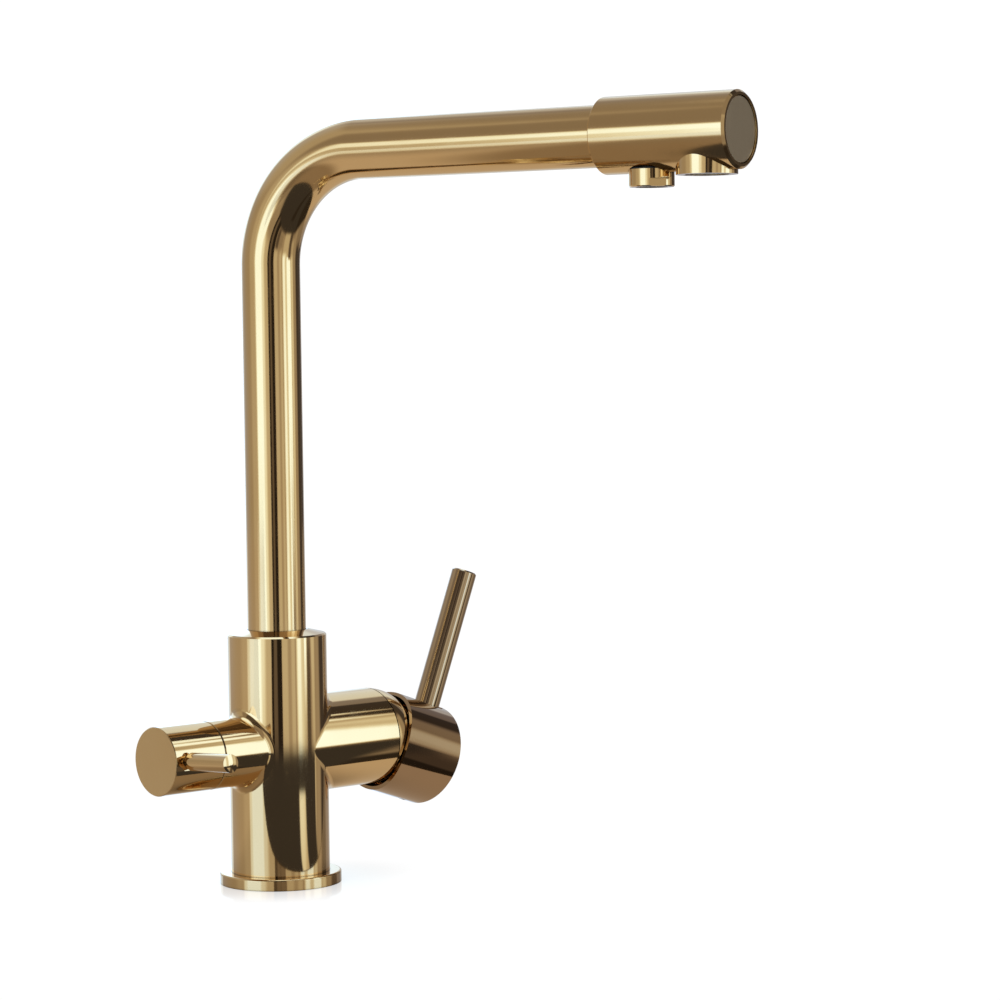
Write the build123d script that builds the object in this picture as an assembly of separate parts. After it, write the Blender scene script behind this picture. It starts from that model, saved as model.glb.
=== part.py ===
from build123d import *
import math
import os

# Three way filtered water tap for a kitchen sink.
#
# Frame, in millimetres: the origin is the centre of the foot on the worktop, +Z is up, +X points to
# the mixer lever, -X to the filter knob, and -Y to the person at the sink. The pieces stand in the
# pose in which both waters run: the spout is swung a little to +X, the mixer lever is lifted, and the
# filter lever points forward.

# ---- Spout -------------------------------------------------------------------------------------
TUBE_RADIUS = 12.5
TUBE_WALL = 1.2
SPOUT_HEIGHT = 312.4             # centre line of the level run above the worktop
SPOUT_REACH = 225.5              # from the upright axis to the end of the head
BEND_RADIUS = 47.5               # centre line of the bend
SPOUT_SWING = 15.7               # degrees from -Y towards +X

# ---- Head with the two outlets -----------------------------------------------------------------
HEAD_RADIUS = 15.5
HEAD_LENGTH = 60.5
HEAD_SOCKET_DEPTH = 10.0         # length of tube held in the head
HEAD_CHAMBER_RADIUS = 10.5
HEAD_END_CHAMFER = 1.0
HEAD_START_CHAMFER = 0.5
END_CAP_RADIUS = 13.3
END_CAP_THICKNESS = 2.4
END_CAP_INSET = 0.5
END_CAP_PLUG = 1.5               # length of the plug behind the end cap

MIXED_OUTLET_SETBACK = 15.2      # from the end of the head to the aerator axis
AERATOR_BOSS_RADIUS = 12.25
AERATOR_BOSS_DROP = 17.0         # from the spout axis down to the outlet edge
AERATOR_BORE = 10.2
AERATOR_SEAT_DROP = 12.0         # from the spout axis down to the washer seat
AERATOR_WASHER_THICKNESS = 1.2
AERATOR_WATERWAY = 8.7
AERATOR_RECESS = 0.4             # core edge above the ring edge
AERATOR_CORE_HEIGHT = 3.6
SCREEN_RING_STEP = 1.9           # from one ring of the aerator screen to the next

OUTLET_SPACING = 24.7            # between the two outlet axes
NOZZLE_RADIUS = 9.15
NOZZLE_DROP = 21.0               # from the spout axis down to the nozzle edge
NOZZLE_SEAT_DROP = 13.4          # from the spout axis down to the nozzle seat in the head
NOZZLE_SEAL_THICKNESS = 0.6
NOZZLE_FLAT_DISTANCE = 8.45      # from the nozzle axis to each wrench flat
NOZZLE_FLAT_HEIGHT = 3.2
NOZZLE_FLAT_TURN = 45.0          # degrees from the spout to the flats
NOZZLE_STEM_RADIUS = 4.5
NOZZLE_MOUTH_RADIUS = 6.4
NOZZLE_MOUTH_DEPTH = 5.0
INSERT_HEIGHT = 3.8
INSERT_RECESS = 0.5
INSERT_HOLE_RADIUS = 0.9

# ---- Inner tube for filtered water --------------------------------------------------------------
FILTER_TUBE_RADIUS = 4.0
FILTER_TUBE_WALL = 1.0
SPIGOT_WATERWAY = 1.8
SPIGOT_LENGTH = 11.0             # length of each spigot inside the inner tube
SPIGOT_CLEARANCE = 0.08
SPIGOT_FLANGE_RADIUS = 4.4
SPIGOT_FLANGE = 1.6
SPIGOT_ROOT_DEPTH = 6.5
ELBOW_RADIUS = 6.4
ELBOW_TOP = 6.0                  # from the spout axis up to the elbow's crown

# ---- Body ----------------------------------------------------------------------------------------
BODY_RADIUS = 21.2
BODY_TOP = 107.4
BODY_TOP_CHAMFER = 0.7
TOP_CONE_RISE = 1.7              # height of the shallow cone on the body's top
TOP_CONE_LIP = 0.5               # flat rim of the cone around the spout's socket
CROSS_HEIGHT = 58.3              # axis of the mixer and of the filter valve
MIXER_BOSS_RADIUS = 21.0
MIXER_BOSS_REACH = 51.0
FILTER_BOSS_RADIUS = 14.5
FILTER_BOSS_REACH = 39.4
MIXER_BLEND = 3.5                # fillet where the mixer boss leaves the body
FILTER_BLEND = 4.0               # fillet where the filter boss leaves the body
EDGE_BREAK = 0.4

# ---- Spout bearing in the body -------------------------------------------------------------------
TUBE_SEAT_DEPTH = 3.8            # how far the tube stands in the body
STUB_RADIUS = 10.95
STUB_WATERWAY = 7.5
STUB_FLANGE = 2.1
STUB_PLUG = 18.0                 # length of the stub inside the tube
BUSH_LENGTH = 10.4
STUB_TAIL = 14.5                 # from the bush down to the stub's lower end
STUB_END_GAP = 1.0
LOCK_GROOVE_WIDTH = 3.6
LOCK_GROOVE_DEPTH = 1.65
LOCK_SCREW_RADIUS = 2.45
LOCK_TIP_RADIUS = 1.5
LOCK_TIP_GAP = 0.4               # from the tip to the groove's floor
SEAL_RADIUS = 0.88               # half the thickness of an O-ring
SEAL_GROOVE_WIDTH = 2.4
SEAL_SPACING = 4.1

# ---- Foot and fixing -----------------------------------------------------------------------------
FOOT_RADIUS = 26.1
FOOT_HEIGHT = 4.9
FOOT_EDGE = 0.8
GASKET_INNER = 20.0
GASKET_OUTER = 23.8
GASKET_HEIGHT = 1.9
SHANK_RADIUS = 16.5
SHANK_BORE = 13.2
SHANK_LENGTH = 50.0              # below the worktop surface
SHANK_GRIP = 12.9                # length screwed into the body
WORKTOP = 20.0                   # thickness of worktop the fixing is set for
WASHER_RADIUS = 26.0
RUBBER_WASHER = 3.0
CLAMP_WASHER = 2.0
NUT_ACROSS_FLATS = 41.0
NUT_HEIGHT = 8.0
INLET_RADIUS = 4.6               # threaded hose inlets
INLET_CIRCLE = 8.0               # from the upright axis to each inlet
INLET_DEPTH = 10.0

# ---- Mixer cartridge -----------------------------------------------------------------------------
CARTRIDGE_RADIUS = 17.4
POCKET_DEPTH = 31.0              # from the boss end to the pocket floor
SHOULDER_DEPTH = 9.0             # from the boss end to the cartridge shoulder
MOUTH_RADIUS = 18.7
CARTRIDGE_NECK_RADIUS = 14.6
CARTRIDGE_NECK_LENGTH = 6.0
CARTRIDGE_BORE = 15.2
CARTRIDGE_CROWN = 3.8            # thickness of the shoulder over the sleeve flange
BASE_THICKNESS = 4.0
DISC_THICKNESS = 3.5
MOVING_DISC_THICKNESS = 3.0
MOVING_DISC_RADIUS = 11.6
CARRIER_THICKNESS = 4.5
CARRIER_RADIUS = 11.5
SLEEVE_RADIUS = 12.9
SLEEVE_RISE = 4.3                # from the pivot to the sleeve's outer end
NUT_RING_LENGTH = 6.4
DISC_CAVITY_RADIUS = 4.5         # joins the ports that it lies over
PORT_RADIUS = 2.0
OUTLET_PORT_RADIUS = 2.8
INLET_PORT_OFFSET = (4.6, 4.6)   # sideways and upward from the cartridge axis
OUTLET_PORT_RISE = -1.5
PORT_SEAL_WALL = 1.1
PORT_SEAL_HEIGHT = 1.3

# ---- Mixer lever ---------------------------------------------------------------------------------
PIVOT_INSET = 1.7                # from the boss end back to the pivot
PIVOT_PIN_RADIUS = 1.5
STEM_HALF_WIDTH = 3.9
STEM_BALL_REACH = 15.2           # from the pivot to the ball
STEM_BALL_RADIUS = 2.2
STEM_NECK_RADIUS = 1.6
STEM_NECK_LENGTH = 3.7
STEM_LENGTH = 33.0               # from the pivot to the outer end
BALL_SEAT_OFFSET = 2.6           # from the moving disc's centre to the ball's pocket
LIFT_AT_REST = 18.8              # degrees of lift in this pose, 0 is shut
LIFT_FULL = 20.0
TURN_AT_REST = 4.1               # degrees turned towards the person
CAP_RADIUS = 22.2
CAP_WALL = 1.45
CAP_END = 37.7                   # from the pivot to the cap's flat end
CAP_END_WALL = 3.0
CAP_END_CHAMFER = 0.5
CAP_RIM = 5.3                    # from the pivot to the rim at its two sides
CAP_RIM_ARCH = 57.0              # radius of the arched rim
CAP_HUB_RADIUS = 8.0
CAP_HUB_LENGTH = 12.2
CAP_HUB_FLOOR = 1.2              # brass between the stem's end and the end wall
DOME_GAP = 0.35
DOME_OPENING = 13.5
DOME_BORE = 15.8
DOME_ROOF = 10.0                 # from the pivot to the inside of the dome's roof
LEVER_SETBACK = 8.0              # from the cap's end to the lever's axis
LEVER_RADIUS = 5.65
LEVER_TOP = 84.0                 # from the cap's axis to the lever's end
LEVER_EDGE = 0.6
LEVER_SEAT_DEPTH = 1.0
LEVER_SEAT_RADIUS = 7.4
LEVER_STUD_RADIUS = 3.0
LEVER_STUD_LENGTH = 11.0
LEVER_BOSS_RADIUS = 6.5
CAP_SCREW_RADIUS = 2.45
CAP_SCREW_BOSS_RADIUS = 4.5

# ---- Filter valve --------------------------------------------------------------------------------
KNOB_GAP = 0.35
KNOB_LENGTH = 25.75
KNOB_EDGE = 0.3
KNOB_END_WALL = 3.5
FILTER_POCKET_RADIUS = 9.2
FILTER_POCKET_DEPTH = 24.4
VALVE_FLANGE_RADIUS = 11.2
VALVE_FLANGE = 2.2
VALVE_NECK_RADIUS = 6.5
VALVE_NECK_LENGTH = 8.0
VALVE_CHAMBER_RADIUS = 7.4
VALVE_WINDOW = 4.0               # width of the two side windows
FILTER_DISC_THICKNESS = 2.5
FILTER_DISC_RADIUS = 7.2
FILTER_SEAL_THICKNESS = 0.8
FILTER_SEAL_HOLE = 5.2
FILTER_PORT_RADIUS = 2.6
FILTER_WINDOW_RADIUS = 4.4       # reach of the two quarter windows in each disc
FILTER_WINDOW_LAND = 0.8         # from the disc's centre to each window's corner
DRIVER_THICKNESS = 1.8
DRIVER_WIDTH = 4.4
DRIVER_PEG_RADIUS = 0.8
DRIVER_PEG_OFFSET = 5.6          # from the spindle axis to each peg
DRIVER_PEG_LENGTH = 1.2
SPINDLE_RADIUS = 4.0
SPINDLE_SEAL_RADIUS = 0.5
SPINDLE_SEAL_INSET = 4.0         # from the boss end back to the spindle seal
SPINDLE_FLAT = 3.2               # from the spindle axis to its flat
PIN_SETBACK = 6.5                # from the knob's flat end to the pin lever
PIN_RADIUS = 3.8
PIN_REACH = 43.0                 # from the knob axis to the pin's end
PIN_NECK_RADIUS = 2.4
PIN_NECK_LENGTH = 1.6
PIN_CONE_LENGTH = 1.2
PIN_STUD_RADIUS = 2.0
PIN_DOME = 0.5                   # height of the pin's rounded end
PIN_RISE = 3.4                   # degrees above level in this pose

# ---- Clearances ----------------------------------------------------------------------------------
RUNNING = 0.07                   # radial, a shaft in a bore
SEATED = 0.05                    # radial, screwed or pushed together
FACE_GAP = 0.05                  # between faces that turn on each other
DISC_GAP = 0.02                  # the water film between two ceramic discs
LOOSE = 0.25

# ---- Places worked out from the sizes ------------------------------------------------------------
head_start = SPOUT_REACH - HEAD_LENGTH
tube_end = head_start + HEAD_SOCKET_DEPTH
mixed_outlet = SPOUT_REACH - MIXED_OUTLET_SETBACK
filter_outlet = mixed_outlet - OUTLET_SPACING
tube_bore = TUBE_RADIUS - TUBE_WALL
filter_tube_bore = FILTER_TUBE_RADIUS - FILTER_TUBE_WALL
spigot_radius = filter_tube_bore - SPIGOT_CLEARANCE

tube_foot = BODY_TOP - TUBE_SEAT_DEPTH
stub_flange_foot = tube_foot - STUB_FLANGE
bush_top = stub_flange_foot - FACE_GAP
bush_foot = bush_top - BUSH_LENGTH
stub_foot = bush_foot - STUB_TAIL
bearing_floor = stub_foot - STUB_END_GAP
lock_height = bush_foot - LOCK_GROOVE_WIDTH / 2 - 1.0
upper_seal = lock_height - LOCK_GROOVE_WIDTH / 2 - SEAL_GROOVE_WIDTH / 2 - 1.2
lower_seal = upper_seal - SEAL_SPACING
bearing_bore = STUB_RADIUS + RUNNING
socket_bore = TUBE_RADIUS + 0.2
spigot_top = bearing_floor + SPIGOT_FLANGE + SPIGOT_LENGTH
inner_tube_foot = bearing_floor + SPIGOT_FLANGE + LOOSE

inlet_roof = FOOT_HEIGHT + SHANK_GRIP + 0.2

pocket_floor = MIXER_BOSS_REACH - POCKET_DEPTH
shoulder = MIXER_BOSS_REACH - SHOULDER_DEPTH
pivot = MIXER_BOSS_REACH - PIVOT_INSET
base_start = pocket_floor + 0.3
fixed_disc_start = base_start + BASE_THICKNESS
moving_disc_start = fixed_disc_start + DISC_THICKNESS + DISC_GAP
carrier_start = moving_disc_start + MOVING_DISC_THICKNESS
carrier_end = carrier_start + CARRIER_THICKNESS
crown = shoulder - CARTRIDGE_CROWN
sleeve_flange_start = carrier_end + 0.2
ball_rise = STEM_BALL_REACH * math.sin(math.radians(LIFT_AT_REST))
disc_rise = ball_rise - BALL_SEAT_OFFSET
cap_bore = CAP_RADIUS - CAP_WALL
dome_radius = math.hypot(CAP_RIM, cap_bore) - DOME_GAP
lever_axis = CAP_END - LEVER_SETBACK
lever_seat = CAP_RADIUS - LEVER_SEAT_DEPTH
hub_start = CAP_END - CAP_END_WALL - CAP_HUB_LENGTH
cap_end_inside = CAP_END - CAP_END_WALL

filter_floor = FILTER_BOSS_REACH - FILTER_POCKET_DEPTH
knob_start = FILTER_BOSS_REACH + KNOB_GAP
knob_end = knob_start + KNOB_LENGTH
knob_socket_end = knob_end - KNOB_END_WALL
spindle_end = knob_socket_end - 0.5
valve_neck_end = FILTER_BOSS_REACH + VALVE_NECK_LENGTH
filter_disc_start = filter_floor + FILTER_SEAL_THICKNESS
filter_moving_start = filter_disc_start + FILTER_DISC_THICKNESS + DISC_GAP
driver_start = filter_moving_start + FILTER_DISC_THICKNESS + FACE_GAP
driver_end = driver_start + DRIVER_THICKNESS
chamber_end = driver_end + 0.2
pin_place = knob_end - PIN_SETBACK

# ports of the mixer cartridge: (sideways, upward, radius), cold, hot and mixed
side, rise = INLET_PORT_OFFSET
cartridge_ports = [
    (side, rise, PORT_RADIUS),
    (-side, rise, PORT_RADIUS),
    (0.0, OUTLET_PORT_RISE, OUTLET_PORT_RADIUS),
]


# ---- Helpers -------------------------------------------------------------------------------------
def upright(radius, low, high, x=0.0, y=0.0):
    """A round bar standing between two heights."""
    return Pos(x, y, (low + high) / 2) * Cylinder(radius, high - low)


def ring(outer, inner, low, high, x=0.0, y=0.0):
    """An upright ring between two heights."""
    return upright(outer, low, high, x, y) - upright(inner, low - 1, high + 1, x, y)


def across(radius, start, end, y=0.0, z=CROSS_HEIGHT):
    """A round bar along X between two places."""
    return Pos((start + end) / 2, y, z) * Rot(0, 90, 0) * Cylinder(radius, end - start)


def across_ring(outer, inner, start, end, y=0.0, z=CROSS_HEIGHT):
    """A ring whose axis is X."""
    return across(outer, start, end, y, z) - across(inner, start - 1, end + 1, y, z)


def forward(radius, start, end, z=SPOUT_HEIGHT):
    """A round bar along -Y between two distances from the upright axis."""
    return Pos(0, -(start + end) / 2, z) * Rot(90, 0, 0) * Cylinder(radius, end - start)


def passage(radius, start, end):
    """A drilled passage from one point to another."""
    first = Vector(*start)
    run = Vector(*end) - first
    return Plane(origin=first, z_dir=run) * Cylinder(
        radius, run.length, align=(Align.CENTER, Align.CENTER, Align.MIN)
    )


def hex_bar(across_flats, low, high):
    """An upright hexagonal bar."""
    outline = RegularPolygon(across_flats / 2, 6, major_radius=False)
    return Pos(0, 0, low) * extrude(outline, high - low)


def end_edges(solid, axis, last=True):
    """The round edges at one end of a solid along an axis."""
    return solid.edges().group_by(axis)[-1 if last else 0]


def swung(solid):
    """Turns a spout piece from straight ahead to where the spout stands."""
    return Rot(0, 0, SPOUT_SWING) * solid


def turned(solid):
    """Turns a mixer piece about the boss axis to where the lever stands."""
    return Pos(0, 0, CROSS_HEIGHT) * Rot(TURN_AT_REST, 0, 0) * Pos(0, 0, -CROSS_HEIGHT) * solid


def lifted(solid):
    """Lifts a lever piece about the pivot, then turns it."""
    place = Pos(pivot, 0, CROSS_HEIGHT)
    back = Pos(-pivot, 0, -CROSS_HEIGHT)
    return turned(place * Rot(0, LIFT_AT_REST, 0) * back * solid)


def raised(solid):
    """Turns a filter knob piece to the pin lever's rise."""
    return Pos(0, 0, CROSS_HEIGHT) * Rot(-PIN_RISE, 0, 0) * Pos(0, 0, -CROSS_HEIGHT) * solid


# ---- Body and foot -------------------------------------------------------------------------------
def body_outside():
    """The cast outside: an upright with a boss on each side, blended where they meet."""
    upright_bar = upright(BODY_RADIUS, FOOT_HEIGHT, BODY_TOP)
    mixer_boss = across(MIXER_BOSS_RADIUS, 0, MIXER_BOSS_REACH)
    filter_boss = across(FILTER_BOSS_RADIUS, -FILTER_BOSS_REACH, 0)
    shape = upright_bar + mixer_boss + filter_boss
    mixer_seams = [edge for edge in shape.edges() if is_seam(edge) and edge.center().X > 0]
    shape = fillet(mixer_seams, MIXER_BLEND)
    filter_seams = [
        edge for edge in shape.edges() if is_seam(edge) and edge.center().X < -BODY_RADIUS / 2
    ]
    shape = fillet(filter_seams, FILTER_BLEND)
    shape = chamfer(end_edges(shape, Axis.Z), BODY_TOP_CHAMFER)
    shape = chamfer(end_edges(shape, Axis.X), EDGE_BREAK)
    return chamfer(end_edges(shape, Axis.X, last=False), KNOB_EDGE)


def top_cone():
    """The shallow cone that rises from the body's top edge to the spout's socket."""
    middle = BODY_TOP + TOP_CONE_RISE / 2
    cone = Cone(BODY_RADIUS - BODY_TOP_CHAMFER, socket_bore + TOP_CONE_LIP, TOP_CONE_RISE)
    return Pos(0, 0, middle) * cone


def is_seam(edge):
    """True for an edge where two round bars run into each other."""
    return edge.geom_type not in (GeomType.CIRCLE, GeomType.LINE)


def make_body():
    solid = body_outside() + top_cone()
    # bearing for the spout
    solid -= upright(socket_bore, bush_foot, BODY_TOP + TOP_CONE_RISE + 1)
    solid -= upright(bearing_bore, bearing_floor, bush_foot + 1)
    lock_hole_end = (0, BODY_RADIUS + 1, lock_height)
    solid -= passage(LOCK_SCREW_RADIUS + SEATED, (0, 0, lock_height), lock_hole_end)
    solid -= upright(spigot_radius + 0.5, bearing_floor - SPIGOT_ROOT_DEPTH, bearing_floor + 1)
    # threaded bore for the shank, and the three hose inlets in its roof
    solid -= upright(SHANK_RADIUS + SEATED, 0, inlet_roof)
    for x, y in inlet_places():
        solid -= upright(INLET_RADIUS, inlet_roof - 1, inlet_roof + INLET_DEPTH, x, y)
    # pocket for the mixer cartridge and its three passages
    solid -= across(CARTRIDGE_RADIUS + SEATED, pocket_floor, MIXER_BOSS_REACH + 1)
    solid -= across(MOUTH_RADIUS, shoulder, MIXER_BOSS_REACH + 1)
    inlet_top = inlet_roof + INLET_DEPTH - INLET_RADIUS / 2
    for (x, y), port in zip(inlet_places(), cartridge_ports[:2]):
        port_centre = turned_point(pocket_floor + 1, port)
        solid -= passage(port[2], (x, y, inlet_top), port_centre)
    mixed_port = turned_point(pocket_floor + 1, cartridge_ports[2])
    mixed_x = (SPIGOT_FLANGE_RADIUS + STUB_WATERWAY) / 2
    solid -= passage(PORT_RADIUS, mixed_port, (mixed_x, 0, bearing_floor + 1))
    # pocket for the filter valve, fed from below and emptied to the spigot
    solid -= across(FILTER_POCKET_RADIUS, -FILTER_BOSS_REACH - 1, -filter_floor)
    flange_seat = FILTER_BOSS_REACH - VALVE_FLANGE
    solid -= across(VALVE_FLANGE_RADIUS + SEATED, -FILTER_BOSS_REACH - 1, -flange_seat)
    feed_x = inlet_places()[2][0]
    solid -= upright(FILTER_PORT_RADIUS, inlet_top, CROSS_HEIGHT, feed_x)
    solid -= across(FILTER_WINDOW_RADIUS, -filter_floor - 1, feed_x)
    window_x = -(chamber_end + filter_disc_start) / 2 - 1.5
    outlet_start = (window_x, 0, CROSS_HEIGHT + FILTER_POCKET_RADIUS - 1)
    solid -= passage(SPIGOT_WATERWAY, outlet_start, (0, 0, bearing_floor - SPIGOT_ROOT_DEPTH + 1))
    return solid


def inlet_places():
    """Centres of the cold, hot and filtered hose inlets."""
    return [
        (INLET_CIRCLE * math.cos(math.radians(angle)), INLET_CIRCLE * math.sin(math.radians(angle)))
        for angle in (60, -60, 180)
    ]


def turned_point(x, port):
    """Where a cartridge port lies on the pocket floor."""
    sideways, upward, _ = port
    return (x, sideways, CROSS_HEIGHT + upward)


def make_base_ring():
    outside = upright(FOOT_RADIUS, 0, FOOT_HEIGHT)
    outside = fillet(end_edges(outside, Axis.Z), FOOT_EDGE)
    outside -= upright(SHANK_RADIUS + 0.2, -1, FOOT_HEIGHT + 1)
    return outside - ring(GASKET_OUTER + SEATED, GASKET_INNER - SEATED, -1, GASKET_HEIGHT)


def make_base_gasket():
    return ring(GASKET_OUTER, GASKET_INNER, 0, GASKET_HEIGHT)


def make_shank():
    solid = ring(SHANK_RADIUS, SHANK_BORE, -SHANK_LENGTH, FOOT_HEIGHT + SHANK_GRIP)
    outer_end = end_edges(solid, Axis.Z, last=False).sort_by(SortBy.RADIUS)[-1]
    return chamfer(outer_end, EDGE_BREAK)


def make_washer(low, thickness):
    return ring(WASHER_RADIUS, SHANK_RADIUS + 0.2, low, low + thickness)


def make_nut(top):
    blank = hex_bar(NUT_ACROSS_FLATS, top - NUT_HEIGHT, top)
    blank &= Pos(0, 0, top - NUT_HEIGHT / 2) * Cone(
        NUT_ACROSS_FLATS / 2 + 0.8, NUT_ACROSS_FLATS / 2 + 0.8 + NUT_HEIGHT, NUT_HEIGHT
    )
    return blank - upright(SHANK_RADIUS + SEATED, top - NUT_HEIGHT - 1, top + 1)


# ---- Spout bearing -------------------------------------------------------------------------------
def make_swivel_bush():
    return ring(socket_bore - SEATED, bearing_bore, bush_foot, bush_top)


def make_lock_screw():
    depth = BODY_RADIUS - 0.8
    thread_start = bearing_bore + 0.4
    groove_floor = STUB_RADIUS - LOCK_GROOVE_DEPTH
    tip = (0, groove_floor + LOCK_TIP_GAP, lock_height)
    shoulder_point = (0, thread_start, lock_height)
    screw = passage(LOCK_SCREW_RADIUS, shoulder_point, (0, depth, lock_height))
    screw += passage(LOCK_TIP_RADIUS, tip, shoulder_point)
    key = Plane(origin=(0, depth - 2.5, lock_height), z_dir=(0, 1, 0)) * extrude(
        RegularPolygon(1.25, 6, major_radius=False), 3
    )
    return screw - key


def make_filter_spigot():
    root = upright(spigot_radius + 0.45, bearing_floor - SPIGOT_ROOT_DEPTH + 1.5, bearing_floor)
    flange = upright(SPIGOT_FLANGE_RADIUS, bearing_floor, bearing_floor + SPIGOT_FLANGE)
    pipe = upright(spigot_radius, bearing_floor, spigot_top)
    pipe = chamfer(end_edges(pipe, Axis.Z), EDGE_BREAK)
    waterway = upright(SPIGOT_WATERWAY, bearing_floor - SPIGOT_ROOT_DEPTH, spigot_top + 1)
    return root + flange + pipe - waterway


def make_swivel_stub():
    tail = upright(STUB_RADIUS, stub_foot, stub_flange_foot)
    flange = upright(TUBE_RADIUS - 0.1, stub_flange_foot, tube_foot)
    plug = upright(tube_bore - SEATED, tube_foot, tube_foot + STUB_PLUG)
    solid = tail + flange + plug
    half_lock = LOCK_GROOVE_WIDTH / 2
    groove_floor = STUB_RADIUS - LOCK_GROOVE_DEPTH
    solid -= ring(STUB_RADIUS + 1, groove_floor, lock_height - half_lock, lock_height + half_lock)
    half_seal = SEAL_GROOVE_WIDTH / 2
    seal_floor = bearing_bore - 2 * SEAL_RADIUS
    for height in (upper_seal, lower_seal):
        solid -= ring(STUB_RADIUS + 1, seal_floor, height - half_seal, height + half_seal)
    return solid - upright(STUB_WATERWAY, stub_foot - 1, tube_foot + STUB_PLUG + 1)


def make_stub_seals():
    middle = bearing_bore - SEAL_RADIUS - DISC_GAP
    upper = Pos(0, 0, upper_seal) * Torus(middle, SEAL_RADIUS - DISC_GAP)
    lower = Pos(0, 0, lower_seal) * Torus(middle, SEAL_RADIUS - DISC_GAP)
    return Compound(children=[upper, lower])


# ---- Spout ---------------------------------------------------------------------------------------
def bent_bar(radius, foot, reach):
    """A round bar that rises from a height, bends once and runs level to a reach."""
    route = FilletPolyline(
        (0, 0, foot), (0, 0, SPOUT_HEIGHT), (0, -reach, SPOUT_HEIGHT), radius=BEND_RADIUS
    )
    section = Plane(origin=(0, 0, foot), z_dir=(0, 0, 1)) * Circle(radius)
    return sweep(section, path=route)


def make_spout_tube():
    return bent_bar(TUBE_RADIUS, tube_foot, tube_end) - bent_bar(tube_bore, tube_foot, tube_end)


def make_filtered_water_tube():
    end = filter_outlet - ELBOW_RADIUS - LOOSE
    outside = bent_bar(FILTER_TUBE_RADIUS, inner_tube_foot, end)
    return outside - bent_bar(filter_tube_bore, inner_tube_foot, end)


# ---- Head ----------------------------------------------------------------------------------------
def below(radius, reach, low_drop, high_drop):
    """An upright bar under the spout axis, between two drops, at a reach."""
    return upright(radius, SPOUT_HEIGHT - low_drop, SPOUT_HEIGHT - high_drop, 0, -reach)


def make_head_body():
    barrel = forward(HEAD_RADIUS, head_start, SPOUT_REACH)
    barrel = chamfer(end_edges(barrel, Axis.Y, last=False), HEAD_END_CHAMFER)
    barrel = chamfer(end_edges(barrel, Axis.Y), HEAD_START_CHAMFER)
    barrel += below(AERATOR_BOSS_RADIUS, mixed_outlet, AERATOR_BOSS_DROP, 0)
    barrel -= forward(TUBE_RADIUS + SEATED, head_start - 1, tube_end + 0.1)
    barrel -= forward(HEAD_CHAMBER_RADIUS, head_start, SPOUT_REACH)
    cap_seat = SPOUT_REACH - END_CAP_INSET - END_CAP_THICKNESS
    barrel -= forward(END_CAP_RADIUS + SEATED, cap_seat, SPOUT_REACH + 1)
    barrel -= below(AERATOR_BORE, mixed_outlet, AERATOR_BOSS_DROP + 1, AERATOR_SEAT_DROP)
    barrel -= below(AERATOR_WATERWAY, mixed_outlet, AERATOR_SEAT_DROP + 1, 0)
    barrel -= below(NOZZLE_RADIUS + SEATED, filter_outlet, HEAD_RADIUS + 1, NOZZLE_SEAT_DROP)
    return barrel - below(NOZZLE_STEM_RADIUS + SEATED, filter_outlet, HEAD_RADIUS, 0)


def make_head_end_cap():
    cap_seat = SPOUT_REACH - END_CAP_INSET - END_CAP_THICKNESS
    disc = forward(END_CAP_RADIUS, cap_seat, SPOUT_REACH - END_CAP_INSET)
    disc = chamfer(end_edges(disc, Axis.Y, last=False), EDGE_BREAK)
    return disc + forward(HEAD_CHAMBER_RADIUS - SEATED, cap_seat - END_CAP_PLUG, cap_seat)


def elbow_foot_drop():
    """Drop of the elbow's foot, where its rim meets the round chamber."""
    return math.sqrt(HEAD_CHAMBER_RADIUS**2 - ELBOW_RADIUS**2) - 0.1


def make_filter_elbow():
    post = below(ELBOW_RADIUS, filter_outlet, elbow_foot_drop(), -ELBOW_TOP)
    post = fillet(end_edges(post, Axis.Z), EDGE_BREAK)
    spigot_start = filter_outlet - ELBOW_RADIUS - SPIGOT_LENGTH
    spigot = forward(spigot_radius, spigot_start, filter_outlet)
    spigot = chamfer(end_edges(spigot, Axis.Y), EDGE_BREAK)
    solid = post + spigot
    solid -= forward(SPIGOT_WATERWAY, spigot_start - 1, filter_outlet)
    solid -= below(SPIGOT_WATERWAY, filter_outlet, elbow_foot_drop(), 0)
    return solid - below(NOZZLE_STEM_RADIUS + SEATED, filter_outlet, elbow_foot_drop() + 1, 2.0)


def make_filter_nozzle():
    collar_top = NOZZLE_SEAT_DROP + NOZZLE_SEAL_THICKNESS
    collar = below(NOZZLE_RADIUS, filter_outlet, NOZZLE_DROP, collar_top)
    collar = chamfer(end_edges(collar, Axis.Z, last=False), EDGE_BREAK)
    flat_depth = 4.0
    low = SPOUT_HEIGHT - NOZZLE_DROP
    for turn in (NOZZLE_FLAT_TURN, NOZZLE_FLAT_TURN + 180):
        corner = (Align.MIN, Align.CENTER, Align.MIN)
        block = Box(flat_depth, 4 * NOZZLE_RADIUS, NOZZLE_FLAT_HEIGHT, align=corner)
        place = Pos(0, -filter_outlet, low) * Rot(0, 0, turn) * Pos(NOZZLE_FLAT_DISTANCE, 0, 0)
        collar -= place * block
    stem = below(NOZZLE_STEM_RADIUS, filter_outlet, collar_top, 2.3)
    solid = collar + stem
    solid -= below(NOZZLE_MOUTH_RADIUS, filter_outlet, NOZZLE_DROP + 1, NOZZLE_DROP - NOZZLE_MOUTH_DEPTH)
    return solid - below(SPIGOT_WATERWAY + 0.6, filter_outlet, NOZZLE_DROP, 1)


def make_nozzle_seal():
    top = NOZZLE_SEAT_DROP
    outer = below(NOZZLE_RADIUS - 0.6, filter_outlet, top + NOZZLE_SEAL_THICKNESS, top)
    return outer - below(NOZZLE_STEM_RADIUS + SEATED, filter_outlet, top + 2, top - 1)


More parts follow.
